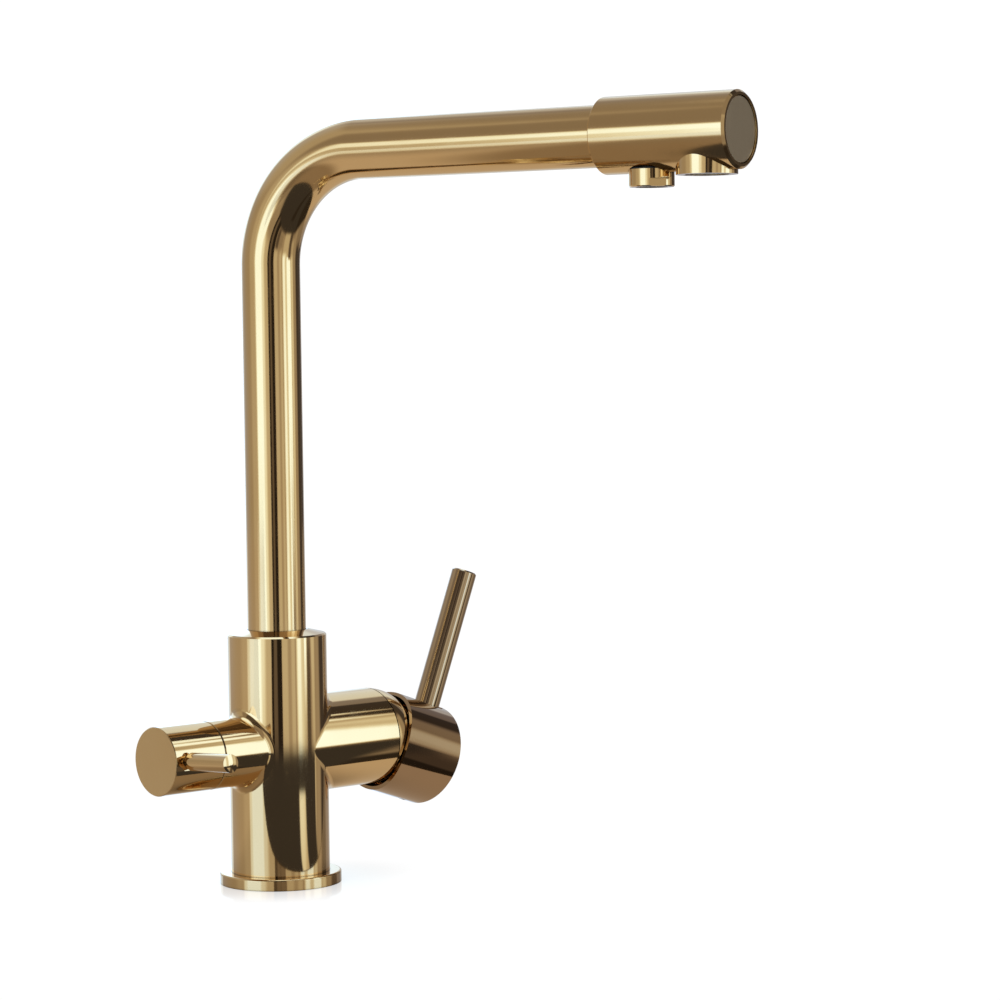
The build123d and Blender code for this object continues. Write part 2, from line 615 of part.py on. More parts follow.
def make_nozzle_insert():
    low = NOZZLE_DROP - INSERT_RECESS
    solid = below(NOZZLE_MOUTH_RADIUS - SEATED, filter_outlet, low, low - INSERT_HEIGHT)
    pitch = INSERT_HOLE_RADIUS * 2.4
    for row in (0, 1, 2):
        count = max(1, 6 * row)
        for step in range(count):
            angle = 2 * math.pi * step / count
            x = row * pitch * math.cos(angle)
            reach = filter_outlet + row * pitch * math.sin(angle)
            underside = SPOUT_HEIGHT - low
            top = underside + INSERT_HEIGHT
            solid -= upright(INSERT_HOLE_RADIUS, underside - 1, top + 1, x, -reach)
    return solid


def make_aerator_washer():
    low = AERATOR_SEAT_DROP + AERATOR_WASHER_THICKNESS
    outer = below(AERATOR_BORE - SEATED, mixed_outlet, low, AERATOR_SEAT_DROP)
    return outer - below(AERATOR_WATERWAY, mixed_outlet, low + 1, AERATOR_SEAT_DROP - 1)


def make_aerator_ring():
    top = AERATOR_SEAT_DROP + AERATOR_WASHER_THICKNESS
    outer = below(AERATOR_BORE - SEATED, mixed_outlet, AERATOR_BOSS_DROP, top)
    solid = outer - below(AERATOR_WATERWAY, mixed_outlet, AERATOR_BOSS_DROP + 1, top - 1)
    notch = Box(2.6, 4 * AERATOR_BORE, 1.2, align=(Align.CENTER, Align.CENTER, Align.MIN))
    return solid - Pos(0, -mixed_outlet, SPOUT_HEIGHT - AERATOR_BOSS_DROP) * notch


def make_aerator_core():
    """The plastic core: a rim, two cross ribs and concentric screen rings."""
    low = AERATOR_BOSS_DROP - AERATOR_RECESS
    high = low - AERATOR_CORE_HEIGHT
    outer = AERATOR_WATERWAY - SEATED
    rim = below(outer, mixed_outlet, low, high) - below(outer - 1.1, mixed_outlet, low + 1, high - 1)
    parts = [rim]
    radius = outer - 1.1 - SCREEN_RING_STEP
    while radius > 1.0:
        screen = below(radius + 0.4, mixed_outlet, low, high + 1.5)
        parts.append(screen - below(radius - 0.4, mixed_outlet, low + 1, high))
        radius -= SCREEN_RING_STEP
    for width, depth in ((2 * outer - 1, 1.0), (1.0, 2 * outer - 1)):
        rib = Box(width, depth, AERATOR_CORE_HEIGHT - 1.0, align=(Align.CENTER, Align.CENTER, Align.MAX))
        parts.append(Pos(0, -mixed_outlet, SPOUT_HEIGHT - high) * rib)
    roof = below(outer, mixed_outlet, high + 1.0, high)
    parts.append(roof - below(outer - 2.5, mixed_outlet, high + 2, high - 1))
    solid = parts[0]
    for piece in parts[1:]:
        solid += piece
    return solid


# ---- Mixer cartridge -----------------------------------------------------------------------------
def port_holes(start, end, grow=0.0):
    """Bars through the three cartridge ports."""
    return [
        across(radius + grow, start, end, sideways, CROSS_HEIGHT + upward)
        for sideways, upward, radius in cartridge_ports
    ]


def make_cartridge_housing():
    skirt = across(CARTRIDGE_RADIUS, base_start, shoulder)
    neck = across(CARTRIDGE_NECK_RADIUS, shoulder, shoulder + CARTRIDGE_NECK_LENGTH)
    solid = skirt + neck
    solid -= across(CARTRIDGE_BORE, base_start - 1, crown)
    return solid - across(SLEEVE_RADIUS + RUNNING, base_start, MIXER_BOSS_REACH)


def make_cartridge_base():
    solid = across(CARTRIDGE_BORE - SEATED, base_start, fixed_disc_start)
    for hole in port_holes(base_start - 1, fixed_disc_start + 1):
        solid -= hole
    for recess in port_holes(base_start - 1, pocket_floor + PORT_SEAL_HEIGHT, PORT_SEAL_WALL + SEATED):
        solid -= recess
    return solid


def make_base_seals():
    outers = port_holes(pocket_floor, pocket_floor + PORT_SEAL_HEIGHT, PORT_SEAL_WALL)
    inners = port_holes(pocket_floor - 1, pocket_floor + PORT_SEAL_HEIGHT + 1)
    return Compound(children=[outer - inner for outer, inner in zip(outers, inners)])


def make_fixed_disc():
    solid = across(CARTRIDGE_BORE - SEATED, fixed_disc_start, fixed_disc_start + DISC_THICKNESS)
    for hole in port_holes(fixed_disc_start - 1, fixed_disc_start + DISC_THICKNESS + 1):
        solid -= hole
    return solid


def make_cartridge_nut():
    end = shoulder + NUT_RING_LENGTH
    solid = across_ring(MOUTH_RADIUS - SEATED, CARTRIDGE_NECK_RADIUS + 0.2, shoulder, end)
    for turn in (0, 90):
        slot = Box(2.0, 2.4, 4 * MOUTH_RADIUS)
        solid -= Pos(end, 0, CROSS_HEIGHT) * Rot(turn, 0, 0) * slot
    return solid


def make_dome_ring():
    """A domed ring, round about the pivot, on a skirt that fits the mouth of the boss."""
    skirt_start = shoulder + NUT_RING_LENGTH + 0.3
    skirt = MOUTH_RADIUS - SEATED
    face = MIXER_BOSS_REACH + FACE_GAP
    roof = pivot + DOME_ROOF
    tip = pivot + math.sqrt(dome_radius**2 - DOME_OPENING**2)
    rim = math.sqrt(dome_radius**2 - (face - pivot) ** 2)
    middle = dome_radius / math.sqrt(2)
    foot = Polyline((skirt_start, DOME_BORE), (skirt_start, skirt), (face, skirt), (face, rim))
    crest = ThreePointArc((face, rim), (pivot + middle, middle), (tip, DOME_OPENING))
    inside = Polyline(
        (tip, DOME_OPENING), (roof, DOME_OPENING), (roof, DOME_BORE), (skirt_start, DOME_BORE)
    )
    return Pos(0, 0, CROSS_HEIGHT) * revolve(make_face([foot, crest, inside]), Axis.X)


def make_disc_carrier():
    solid = across(CARRIER_RADIUS, carrier_start, carrier_end, 0, CROSS_HEIGHT + disc_rise)
    pocket_radius = STEM_BALL_RADIUS + LOOSE
    deepest = pivot - STEM_BALL_REACH - STEM_BALL_RADIUS - LOOSE
    return solid - across(pocket_radius, deepest, carrier_end + 1, 0, CROSS_HEIGHT + ball_rise)


def make_moving_disc():
    z = CROSS_HEIGHT + disc_rise
    solid = across(MOVING_DISC_RADIUS, moving_disc_start, carrier_start, 0, z)
    cavity_end = moving_disc_start + MOVING_DISC_THICKNESS / 2
    return solid - across(DISC_CAVITY_RADIUS, moving_disc_start - 1, cavity_end, 0, z)


def make_cartridge_sleeve():
    flange = across(CARTRIDGE_BORE - 2 * RUNNING, sleeve_flange_start, crown - FACE_GAP)
    barrel = across(SLEEVE_RADIUS, sleeve_flange_start, pivot + SLEEVE_RISE)
    solid = flange + barrel
    length = pivot + SLEEVE_RISE - sleeve_flange_start
    widest = math.tan(math.radians(LIFT_FULL)) * (pivot - sleeve_flange_start)
    upper = STEM_HALF_WIDTH / math.cos(math.radians(LIFT_FULL)) + widest + LOOSE
    lower = STEM_HALF_WIDTH + math.tan(math.radians(LIFT_FULL)) * SLEEVE_RISE + 2 * LOOSE
    slot = Box(length + 2, 2 * (STEM_HALF_WIDTH + LOOSE), upper + lower)
    middle = sleeve_flange_start + length / 2
    solid -= Pos(middle, 0, CROSS_HEIGHT + (upper - lower) / 2) * slot
    pin_hole = Cylinder(PIVOT_PIN_RADIUS + DISC_GAP, 4 * SLEEVE_RADIUS)
    return solid - Pos(pivot, 0, CROSS_HEIGHT) * Rot(90, 0, 0) * pin_hole


def make_pivot_pin():
    length = 2 * (SLEEVE_RADIUS - 0.5)
    return Pos(pivot, 0, CROSS_HEIGHT) * Rot(90, 0, 0) * Cylinder(PIVOT_PIN_RADIUS, length)


# ---- Mixer lever, drawn shut and then lifted -----------------------------------------------------
def radial(radius, low, high, along=lever_axis):
    """A bar square to the cap's axis, between two distances from it."""
    return upright(radius, CROSS_HEIGHT + low, CROSS_HEIGHT + high, pivot + along)


def make_lever_stem():
    side_length = 2 * STEM_HALF_WIDTH
    bar_start = -STEM_BALL_REACH + STEM_NECK_LENGTH
    bar_length = STEM_LENGTH - bar_start
    bar = Box(bar_length, side_length, side_length, align=(Align.MIN, Align.CENTER, Align.CENTER))
    bar = chamfer(bar.edges().filter_by(Axis.X), EDGE_BREAK)
    solid = Pos(pivot + bar_start, 0, CROSS_HEIGHT) * bar
    solid += across(STEM_NECK_RADIUS, pivot - STEM_BALL_REACH, pivot + bar_start + 1)
    solid += Pos(pivot - STEM_BALL_REACH, 0, CROSS_HEIGHT) * Sphere(STEM_BALL_RADIUS)
    hole = Pos(pivot, 0, CROSS_HEIGHT) * Rot(90, 0, 0) * Cylinder(PIVOT_PIN_RADIUS + 0.06, 20)
    return solid - hole


def make_mixer_cap():
    outside = across(CAP_RADIUS, pivot, pivot + CAP_END)
    outside = chamfer(end_edges(outside, Axis.X), CAP_END_CHAMFER)
    arch_centre = pivot + CAP_RIM + CAP_RIM_ARCH
    arch = Pos(arch_centre, 0, CROSS_HEIGHT) * Rot(90, 0, 0) * Cylinder(CAP_RIM_ARCH, 4 * CAP_RADIUS)
    shell = (outside & arch) - across(cap_bore, pivot - 1, pivot + cap_end_inside)
    hub = across(CAP_HUB_RADIUS, pivot + hub_start, pivot + cap_end_inside)
    lever_boss = radial(LEVER_BOSS_RADIUS, 0, cap_bore + 0.5)
    screw_boss = radial(CAP_SCREW_BOSS_RADIUS, -cap_bore - 0.5, 0)
    keep = across(cap_bore + 0.5, pivot + hub_start, pivot + cap_end_inside)
    solid = shell + hub + ((lever_boss + screw_boss) & keep)
    socket_side = 2 * (STEM_HALF_WIDTH + SEATED)
    socket_end = pivot + STEM_LENGTH + SEATED
    socket_length = socket_end - pivot - hub_start + 1
    socket = Box(socket_length, socket_side, socket_side, align=(Align.MAX, Align.CENTER, Align.CENTER))
    solid -= Pos(socket_end, 0, CROSS_HEIGHT) * socket
    solid -= radial(LEVER_SEAT_RADIUS, lever_seat, CAP_RADIUS + 1)
    solid -= radial(LEVER_STUD_RADIUS + SEATED, lever_seat - LEVER_STUD_LENGTH - 0.3, CAP_RADIUS)
    return solid - radial(CAP_SCREW_RADIUS + SEATED, -CAP_RADIUS - 1, 0)


def make_lever_rod():
    rod = radial(LEVER_RADIUS, lever_seat, LEVER_TOP)
    rod = chamfer(end_edges(rod, Axis.Z), LEVER_EDGE)
    return rod + radial(LEVER_STUD_RADIUS, lever_seat - LEVER_STUD_LENGTH, lever_seat)


def make_cap_screw():
    head = -CAP_RADIUS + 1.2
    screw = radial(CAP_SCREW_RADIUS, head, -STEM_HALF_WIDTH - SEATED)
    key = Pos(pivot + lever_axis, 0, CROSS_HEIGHT + head - 1) * extrude(
        RegularPolygon(1.25, 6, major_radius=False), 3.5
    )
    return screw - key


# ---- Filter valve and knob -----------------------------------------------------------------------
def leftward(radius, start, end, z=CROSS_HEIGHT):
    """A round bar along -X between two distances from the upright axis."""
    return across(radius, -end, -start, 0, z)


def make_filter_seat_seal():
    outer = leftward(FILTER_DISC_RADIUS, filter_floor, filter_disc_start)
    return outer - leftward(FILTER_SEAL_HOLE, filter_floor - 1, filter_disc_start + 1)


def disc_windows(start, end):
    """The two quarter windows, one up and one down, that open and shut a pair of discs."""
    bar = leftward(FILTER_WINDOW_RADIUS, start, end)
    length = 4 * (end - start)
    quarter = Box(length, 20, 20, align=(Align.CENTER, Align.MIN, Align.MIN))
    windows = []
    for turn in (0, 180):
        place = Rot(turn, 0, 0) * Pos(0, 0, FILTER_WINDOW_LAND) * Rot(45, 0, 0)
        windows.append(bar & (Pos(-(start + end) / 2, 0, CROSS_HEIGHT) * place * quarter))
    return windows


def driver_pegs(radius, start, end):
    """The two pegs by which the spindle turns its disc."""
    return [across(radius, -end, -start, y) for y in (-DRIVER_PEG_OFFSET, DRIVER_PEG_OFFSET)]


def make_filter_fixed_disc():
    end = filter_disc_start + FILTER_DISC_THICKNESS
    solid = leftward(FILTER_DISC_RADIUS, filter_disc_start, end)
    for window in disc_windows(filter_disc_start - 1, end + 1):
        solid -= window
    return solid


def make_filter_moving_disc():
    end = filter_moving_start + FILTER_DISC_THICKNESS
    solid = leftward(FILTER_DISC_RADIUS, filter_moving_start, end)
    for window in disc_windows(filter_moving_start - 1, end + 1):
        solid -= window
    for hole in driver_pegs(DRIVER_PEG_RADIUS + SEATED, end - DRIVER_PEG_LENGTH - 0.1, end + 1):
        solid -= hole
    return solid


def make_filter_valve_housing():
    flange_seat = FILTER_BOSS_REACH - VALVE_FLANGE
    solid = leftward(FILTER_POCKET_RADIUS - SEATED, filter_disc_start, flange_seat)
    solid += leftward(VALVE_FLANGE_RADIUS, flange_seat, FILTER_BOSS_REACH)
    solid += leftward(VALVE_NECK_RADIUS, flange_seat, valve_neck_end)
    solid -= leftward(VALVE_CHAMBER_RADIUS, filter_disc_start - 1, chamber_end)
    solid -= leftward(SPINDLE_RADIUS + RUNNING, filter_disc_start, valve_neck_end + 1)
    window_length = chamber_end - filter_moving_start - 1
    window = Box(window_length, VALVE_WINDOW, 4 * FILTER_POCKET_RADIUS)
    return solid - Pos(-(chamber_end - window_length / 2 - 0.3), 0, CROSS_HEIGHT) * window


def make_filter_spindle():
    bar = Box(DRIVER_THICKNESS, 4 * FILTER_DISC_RADIUS, DRIVER_WIDTH)
    place = Pos(-(driver_start + driver_end) / 2, 0, CROSS_HEIGHT)
    solid = leftward(FILTER_DISC_RADIUS - 0.1, driver_start, driver_end) & (place * bar)
    solid += leftward(SPINDLE_RADIUS, driver_end, spindle_end)
    for peg in driver_pegs(DRIVER_PEG_RADIUS, driver_start - DRIVER_PEG_LENGTH, driver_start):
        solid += peg
    seal_place = FILTER_BOSS_REACH - SPINDLE_SEAL_INSET
    half_groove = SPINDLE_SEAL_RADIUS + 0.15
    seal_floor = SPINDLE_RADIUS + RUNNING - 2 * SPINDLE_SEAL_RADIUS
    groove = leftward(SPINDLE_RADIUS + 1, seal_place - half_groove, seal_place + half_groove)
    solid -= groove - leftward(seal_floor, seal_place - 2, seal_place + 2)
    flat = Box(spindle_end - valve_neck_end, 10, 10, align=(Align.MIN, Align.MAX, Align.CENTER))
    return solid - Pos(-spindle_end, -SPINDLE_FLAT, CROSS_HEIGHT) * flat


def make_spindle_seal():
    middle = SPINDLE_RADIUS + RUNNING - SPINDLE_SEAL_RADIUS
    ring_solid = Rot(0, 90, 0) * Torus(middle - DISC_GAP / 2, SPINDLE_SEAL_RADIUS - DISC_GAP)
    return Pos(-(FILTER_BOSS_REACH - SPINDLE_SEAL_INSET), 0, CROSS_HEIGHT) * ring_solid


def make_filter_knob():
    solid = leftward(FILTER_BOSS_RADIUS, knob_start, knob_end)
    solid = chamfer(end_edges(solid, Axis.X), KNOB_EDGE)
    solid = chamfer(end_edges(solid, Axis.X, last=False), KNOB_EDGE)
    solid -= leftward(VALVE_NECK_RADIUS + LOOSE, knob_start - 1, valve_neck_end + 0.5)
    solid -= leftward(SPINDLE_RADIUS + SEATED, knob_start, knob_socket_end)
    stud_hole = (-pin_place, -FILTER_BOSS_RADIUS - 1, CROSS_HEIGHT)
    solid -= passage(PIN_STUD_RADIUS + SEATED, stud_hole, (-pin_place, 0, CROSS_HEIGHT))
    seat_floor = (-pin_place, -FILTER_BOSS_RADIUS + 0.5, CROSS_HEIGHT)
    return solid - passage(PIN_RADIUS + 0.5, seat_floor, stud_hole)


def make_pin_lever():
    """The small lever: stud, neck, cone and rod with a softly rounded end."""
    seat = FILTER_BOSS_RADIUS - 0.5
    neck_end = seat + PIN_NECK_LENGTH
    cone_end = neck_end + PIN_CONE_LENGTH
    crown_radius = (PIN_RADIUS**2 + PIN_DOME**2) / (2 * PIN_DOME)
    crown_side = PIN_RADIUS / 2
    crown_height = PIN_REACH - crown_radius + math.sqrt(crown_radius**2 - crown_side**2)
    outline = Polyline(
        (0, SPINDLE_FLAT + SEATED),
        (PIN_STUD_RADIUS, SPINDLE_FLAT + SEATED),
        (PIN_STUD_RADIUS, seat),
        (PIN_NECK_RADIUS, seat),
        (PIN_NECK_RADIUS, neck_end),
        (PIN_RADIUS, cone_end),
        (PIN_RADIUS, PIN_REACH - PIN_DOME),
    )
    crown = ThreePointArc(
        (PIN_RADIUS, PIN_REACH - PIN_DOME),
        (crown_side, crown_height),
        (0, PIN_REACH),
    )
    face = make_face([outline, crown, Line((0, PIN_REACH), (0, SPINDLE_FLAT + SEATED))])
    rod = revolve(face, Axis.Y)
    return Pos(-pin_place, 0, CROSS_HEIGHT) * Rot(180, 0, 0) * rod


# ---- All pieces ----------------------------------------------------------------------------------
washer_top = -WORKTOP
clamp_top = washer_top - RUBBER_WASHER
nut_top = clamp_top - CLAMP_WASHER

nodes = {
    "body_casting": make_body(),
    "base_ring": make_base_ring(),
    "base_gasket": make_base_gasket(),
    "mounting_shank": make_shank(),
    "rubber_washer": make_washer(washer_top - RUBBER_WASHER, RUBBER_WASHER),
    "clamp_washer": make_washer(clamp_top - CLAMP_WASHER, CLAMP_WASHER),
    "mounting_nut": make_nut(nut_top),
    "swivel_bush": make_swivel_bush(),
    "spout_lock_screw": make_lock_screw(),
    "filter_spigot": make_filter_spigot(),
    "cartridge_housing": make_cartridge_housing(),
    "cartridge_base": make_cartridge_base(),
    "cartridge_base_seals": make_base_seals(),
    "fixed_disc": make_fixed_disc(),
    "cartridge_nut": make_cartridge_nut(),
    "dome_ring": make_dome_ring(),
    "filter_valve_housing": make_filter_valve_housing(),
    "filter_fixed_disc": make_filter_fixed_disc(),
    "filter_seat_seal": make_filter_seat_seal(),
    "spout_tube": swung(make_spout_tube()),
    "swivel_stub": swung(make_swivel_stub()),
    "stub_seals": swung(make_stub_seals()),
    "filtered_water_tube": swung(make_filtered_water_tube()),
    "head_body": swung(make_head_body()),
    "head_end_cap": swung(make_head_end_cap()),
    "filter_elbow": swung(make_filter_elbow()),
    "filter_nozzle": swung(make_filter_nozzle()),
    "nozzle_seal": swung(make_nozzle_seal()),
    "nozzle_insert": swung(make_nozzle_insert()),
    "aerator_washer": swung(make_aerator_washer()),
    "aerator_ring": swung(make_aerator_ring()),
    "aerator_core": swung(make_aerator_core()),
    "cartridge_sleeve": turned(make_cartridge_sleeve()),
    "pivot_pin": turned(make_pivot_pin()),
    "disc_carrier": turned(make_disc_carrier()),
    "moving_disc": turned(make_moving_disc()),
    "lever_stem": lifted(make_lever_stem()),
    "mixer_cap": lifted(make_mixer_cap()),
    "lever_rod": lifted(make_lever_rod()),
    "cap_grub_screw": lifted(make_cap_screw()),
    "filter_spindle": raised(make_filter_spindle()),
    "spindle_seal": raised(make_spindle_seal()),
    "filter_moving_disc": raised(make_filter_moving_disc()),
    "filter_knob": raised(make_filter_knob()),
    "filter_pin_lever": raised(make_pin_lever()),
}

os.makedirs("parts", exist_ok=True)
for name, solid in nodes.items():
    export_step(solid, f"parts/{name}.step")
    print(name, round(solid.volume, 1))
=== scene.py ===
import math

import bmesh
import bpy
from mathutils import Matrix, Vector


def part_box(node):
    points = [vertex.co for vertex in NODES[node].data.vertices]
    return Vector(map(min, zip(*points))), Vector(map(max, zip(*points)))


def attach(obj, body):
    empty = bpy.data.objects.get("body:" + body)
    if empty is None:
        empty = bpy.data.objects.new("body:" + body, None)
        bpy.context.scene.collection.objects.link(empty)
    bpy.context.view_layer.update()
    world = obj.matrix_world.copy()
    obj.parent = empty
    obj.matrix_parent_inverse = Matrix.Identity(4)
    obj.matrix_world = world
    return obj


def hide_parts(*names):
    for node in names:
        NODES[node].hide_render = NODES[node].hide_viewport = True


bl_info = {
    "name": "Three way water tap",
    "version": (1, 0, 0),
    "blender": (4, 5, 0),
    "location": "View3D > Sidebar > Tap",
    "description": "Finishes, spout tube, shank thread, screens and studio for a three way tap",
    "category": "Object",
}

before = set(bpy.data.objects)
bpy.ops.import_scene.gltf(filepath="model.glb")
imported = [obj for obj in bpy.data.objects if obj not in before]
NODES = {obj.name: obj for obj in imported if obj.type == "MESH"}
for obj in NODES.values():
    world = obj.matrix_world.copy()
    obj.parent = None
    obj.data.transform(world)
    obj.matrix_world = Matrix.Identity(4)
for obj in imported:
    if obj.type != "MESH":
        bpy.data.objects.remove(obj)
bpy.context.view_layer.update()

MM = 0.001
FULL_TURN = 2 * math.pi


# ---- Settings ----
def length(label, text, millimetres):
    """A size that a user may change, kept in metres."""
    return bpy.props.FloatProperty(
        name=label, description=text, default=millimetres * MM, unit="LENGTH", precision=5
    )


def angle(label, text, degrees):
    """An angle that a user may change."""
    return bpy.props.FloatProperty(
        name=label, description=text, default=math.radians(degrees), unit="ROTATION"
    )


def count(label, text, default):
    """A number of steps that a user may change."""
    return bpy.props.IntProperty(name=label, description=text, default=default, min=8)


def share(label, text, default):
    """A number from 0 to 1."""
    return bpy.props.FloatProperty(
        name=label, description=text, default=default, min=0.0, max=1.0, subtype="FACTOR"
    )


def colour(label, text, default):
    """A linear colour."""
    return bpy.props.FloatVectorProperty(
        name=label, description=text, default=default, size=3, min=0.0, max=1.0, subtype="COLOR"
    )


class TapFinishSettings(bpy.types.PropertyGroup):
    """Colours and gloss of the tap's finishes."""

    gold: colour("Gold", "Colour of the polished gold coating", (0.84, 0.61, 0.33))
    gold_deep: colour("Deep gold", "Colour where the coating is thicker", (0.80, 0.56, 0.28))
    lever_gold: colour("Lever gold", "Colour of the lever", (0.58, 0.43, 0.28))
    cap_gold: colour("Cap gold", "Colour of the mixer cap", (0.47, 0.315, 0.185))
    end_gold: colour("End gold", "Colour of the head's brushed end cap", (0.80, 0.68, 0.50))
    gold_roughness: share("Gold roughness", "Roughness of the polished coating", 0.055)
    satin_roughness: share("Satin roughness", "Roughness of the brushed end faces", 0.30)
    brass: colour("Brass", "Colour of the bare machined brass", (0.72, 0.53, 0.26))
    steel: colour("Steel", "Colour of the stainless steel", (0.56, 0.55, 0.53))
    rubber: colour("Rubber", "Colour of the seals", (0.018, 0.018, 0.019))
    white_plastic: colour("White plastic", "Colour of the white plastic", (0.72, 0.71, 0.67))
    grey_plastic: colour("Grey plastic", "Colour of the cartridge plastic", (0.20, 0.21, 0.22))
    ceramic: colour("Ceramic", "Colour of the valve discs", (0.80, 0.78, 0.73))


class TapSpoutSettings(bpy.types.PropertyGroup):
    """Sizes of the bent spout tube."""

    radius: length("Tube radius", "Outer radius of the tube", 12.5)
    wall: length("Tube wall", "Thickness of the tube's wall", 1.2)
    foot: length("Tube foot", "Height of the tube's lower end", 103.6)
    height: length("Level height", "Height of the level run's centre line", 312.4)
    reach: length("Tube reach", "Distance from the upright to the tube's end", 175.0)
    bend: length("Bend radius", "Centre line radius of the bend", 47.5)
    swing: angle("Swing", "Turn of the spout from straight ahead", 15.7)
    bend_steps: count("Bend steps", "Segments along the bend", 64)
    round_steps: count("Round steps", "Segments around the tube", 128)


class TapThreadSettings(bpy.types.PropertyGroup):
    """Sizes of the shank's outside thread."""

    radius: length("Crest radius", "Radius over the thread's crests", 16.5)
    bore: length("Bore radius", "Radius of the shank's bore", 13.2)
    low: length("Lower end", "Height of the shank's lower end", -50.0)
    high: length("Upper end", "Height of the shank's upper end", 17.8)
    pitch: length("Pitch", "Distance from one crest to the next", 1.5)
    depth: length("Depth", "Height of a crest above the root", 0.85)
    run_out: length("Run-out", "Length over which the thread fades at each end", 1.5)


class TapScreenSettings(bpy.types.PropertyGroup):
    """Sizes of the wire screens in the two outlets."""

    step: length("Wire step", "Distance from one wire to the next", 0.62)
    wire: length("Wire radius", "Radius of each wire", 0.07)
    mixed_radius: length("Mixed screen", "Radius of the mixed water screen", 8.2)
    mixed_drop: length("Mixed drop", "From the spout axis down to the mixed screen", 12.85)
    mixed_reach: length("Mixed reach", "From the upright to the mixed outlet", 210.3)
    filter_radius: length("Filter screen", "Radius of the filtered water screen", 5.9)
    filter_drop: length("Filter drop", "From the spout axis down to the filter screen", 16.45)
    filter_reach: length("Filter reach", "From the upright to the filter outlet", 185.6)


class TapStudioSettings(bpy.types.PropertyGroup):
    """The camera's place and the studio around the tap."""

    azimuth: angle("Azimuth", "Camera's turn around the tap from the front", -38.599)
    distance: length("Distance", "Level distance from the upright to the camera", 1333.91)
    height: length("Height", "Camera height above the worktop", 231.28)
    yaw: angle("Yaw", "Camera's turn to the right", 4.152)
    pitch: angle("Pitch", "Camera's tilt upwards", -2.924)
    roll: angle("Roll", "Camera's roll", -0.748)
    focal: bpy.props.FloatProperty(
        name="Focal ratio", description="Focal length over the sensor width", default=3.10728
    )
    floor_radius: length("Floor radius", "Radius of the pale floor", 2500.0)
    floor_hole: length("Floor hole", "Radius of the hole under the foot", 25.0)


SETTINGS = {
    "tap_finish": TapFinishSettings,
    "tap_spout": TapSpoutSettings,
    "tap_thread": TapThreadSettings,
    "tap_screen": TapScreenSettings,
    "tap_studio": TapStudioSettings,
}


# ---- Helpers for node trees ----
WHITE = (1.0, 1.0, 1.0, 1.0)


def empty_tree(owner):
    """The emptied node tree of a material or a world."""
    owner.use_nodes = True
    owner.node_tree.nodes.clear()
    return owner.node_tree


def add_node(tree, kind, inputs=None, **options):
    """Adds a node, sets its options, and links or sets the inputs that are given."""
    node = tree.nodes.new(kind)
    for name, value in options.items():
        setattr(node, name, value)
    for key, value in (inputs or {}).items():
        if isinstance(value, bpy.types.NodeSocket):
            tree.links.new(value, node.inputs[key])
        else:
            node.inputs[key].default_value = value
    return node


def maths(tree, operation, *values):
    """One Math node; returns its output."""
    inputs = dict(enumerate(values))
    return add_node(tree, "ShaderNodeMath", inputs, operation=operation).outputs[0]


def times(tree, first, *others):
    """A product; returns its output."""
    for other in others:
        first = maths(tree, "MULTIPLY", first, other)
    return first


def ramp(tree, value, low, high, start=0.0, end=1.0):
    """A smooth step from one value to another; returns its output."""
    inputs = {"Value": value, "From Min": low, "From Max": high, "To Min": start, "To Max": end}
    node = add_node(tree, "ShaderNodeMapRange", inputs, interpolation_type="SMOOTHSTEP")
    return node.outputs[0]


def between(tree, value, low, high, soft):
    """One from low to high, fading to nothing over the soft width at both ends."""
    rising = ramp(tree, value, low - soft, low + soft)
    falling = ramp(tree, value, high + soft, high - soft)
    return times(tree, rising, falling)


def mix_values(tree, factor, first, second):
    """A mix of two numbers; returns its output."""
    node = add_node(tree, "ShaderNodeMix", {0: factor, 2: first, 3: second}, data_type="FLOAT")
    return node.outputs[0]


def mix_colours(tree, factor, first, second):
    """A mix of two colours; returns its output."""
    node = add_node(tree, "ShaderNodeMix", {0: factor, 6: first, 7: second}, data_type="RGBA")
    return node.outputs[2]


def mix_shaders(tree, factor, first, second):
    """A mix of two shaders; returns its output."""
    return add_node(tree, "ShaderNodeMixShader", {0: factor, 1: first, 2: second}).outputs[0]


def glow(tree, strength=1.0, tone=WHITE):
    """A shader that shines by itself; returns its output."""
    return add_node(tree, "ShaderNodeEmission", {"Color": tone, "Strength": strength}).outputs[0]


def mirror(tree, roughness, tone):
    """A mirror shader; returns its output."""
    inputs = {"Color": tone, "Roughness": roughness}
    return add_node(tree, "ShaderNodeBsdfGlossy", inputs).outputs[0]


def parts_of(tree, vector):
    """The X, Y and Z of a vector, by name."""
    return add_node(tree, "ShaderNodeSeparateXYZ", {"Vector": vector}).outputs


def vector_of(tree, x=0.0, y=0.0, z=0.0):
    """A vector from its three parts."""
    return add_node(tree, "ShaderNodeCombineXYZ", {"X": x, "Y": y, "Z": z}).outputs[0]


def noise(tree, vector, scale, detail=2.0, roughness=0.5):
    """A noise texture; returns its number output."""
    inputs = {"Vector": vector, "Scale": scale, "Detail": detail, "Roughness": roughness}
    return add_node(tree, "ShaderNodeTexNoise", inputs).outputs[0]


def stretched(tree, vector, scale, turn=(0.0, 0.0, 0.0)):
    """The vector turned and scaled by a Mapping node."""
    inputs = {"Vector": vector, "Rotation": turn, "Scale": scale}
    return add_node(tree, "ShaderNodeMapping", inputs).outputs[0]


def open_share(tree, reach, **options):
    """How much of the surroundings within reach is open, from 0 to 1."""
    node = add_node(tree, "ShaderNodeAmbientOcclusion", {"Distance": reach}, **options)
    return node.outputs["AO"]


def floats(*labels):
    """Rows for number sockets."""
    return [(label, "Float") for label in labels]


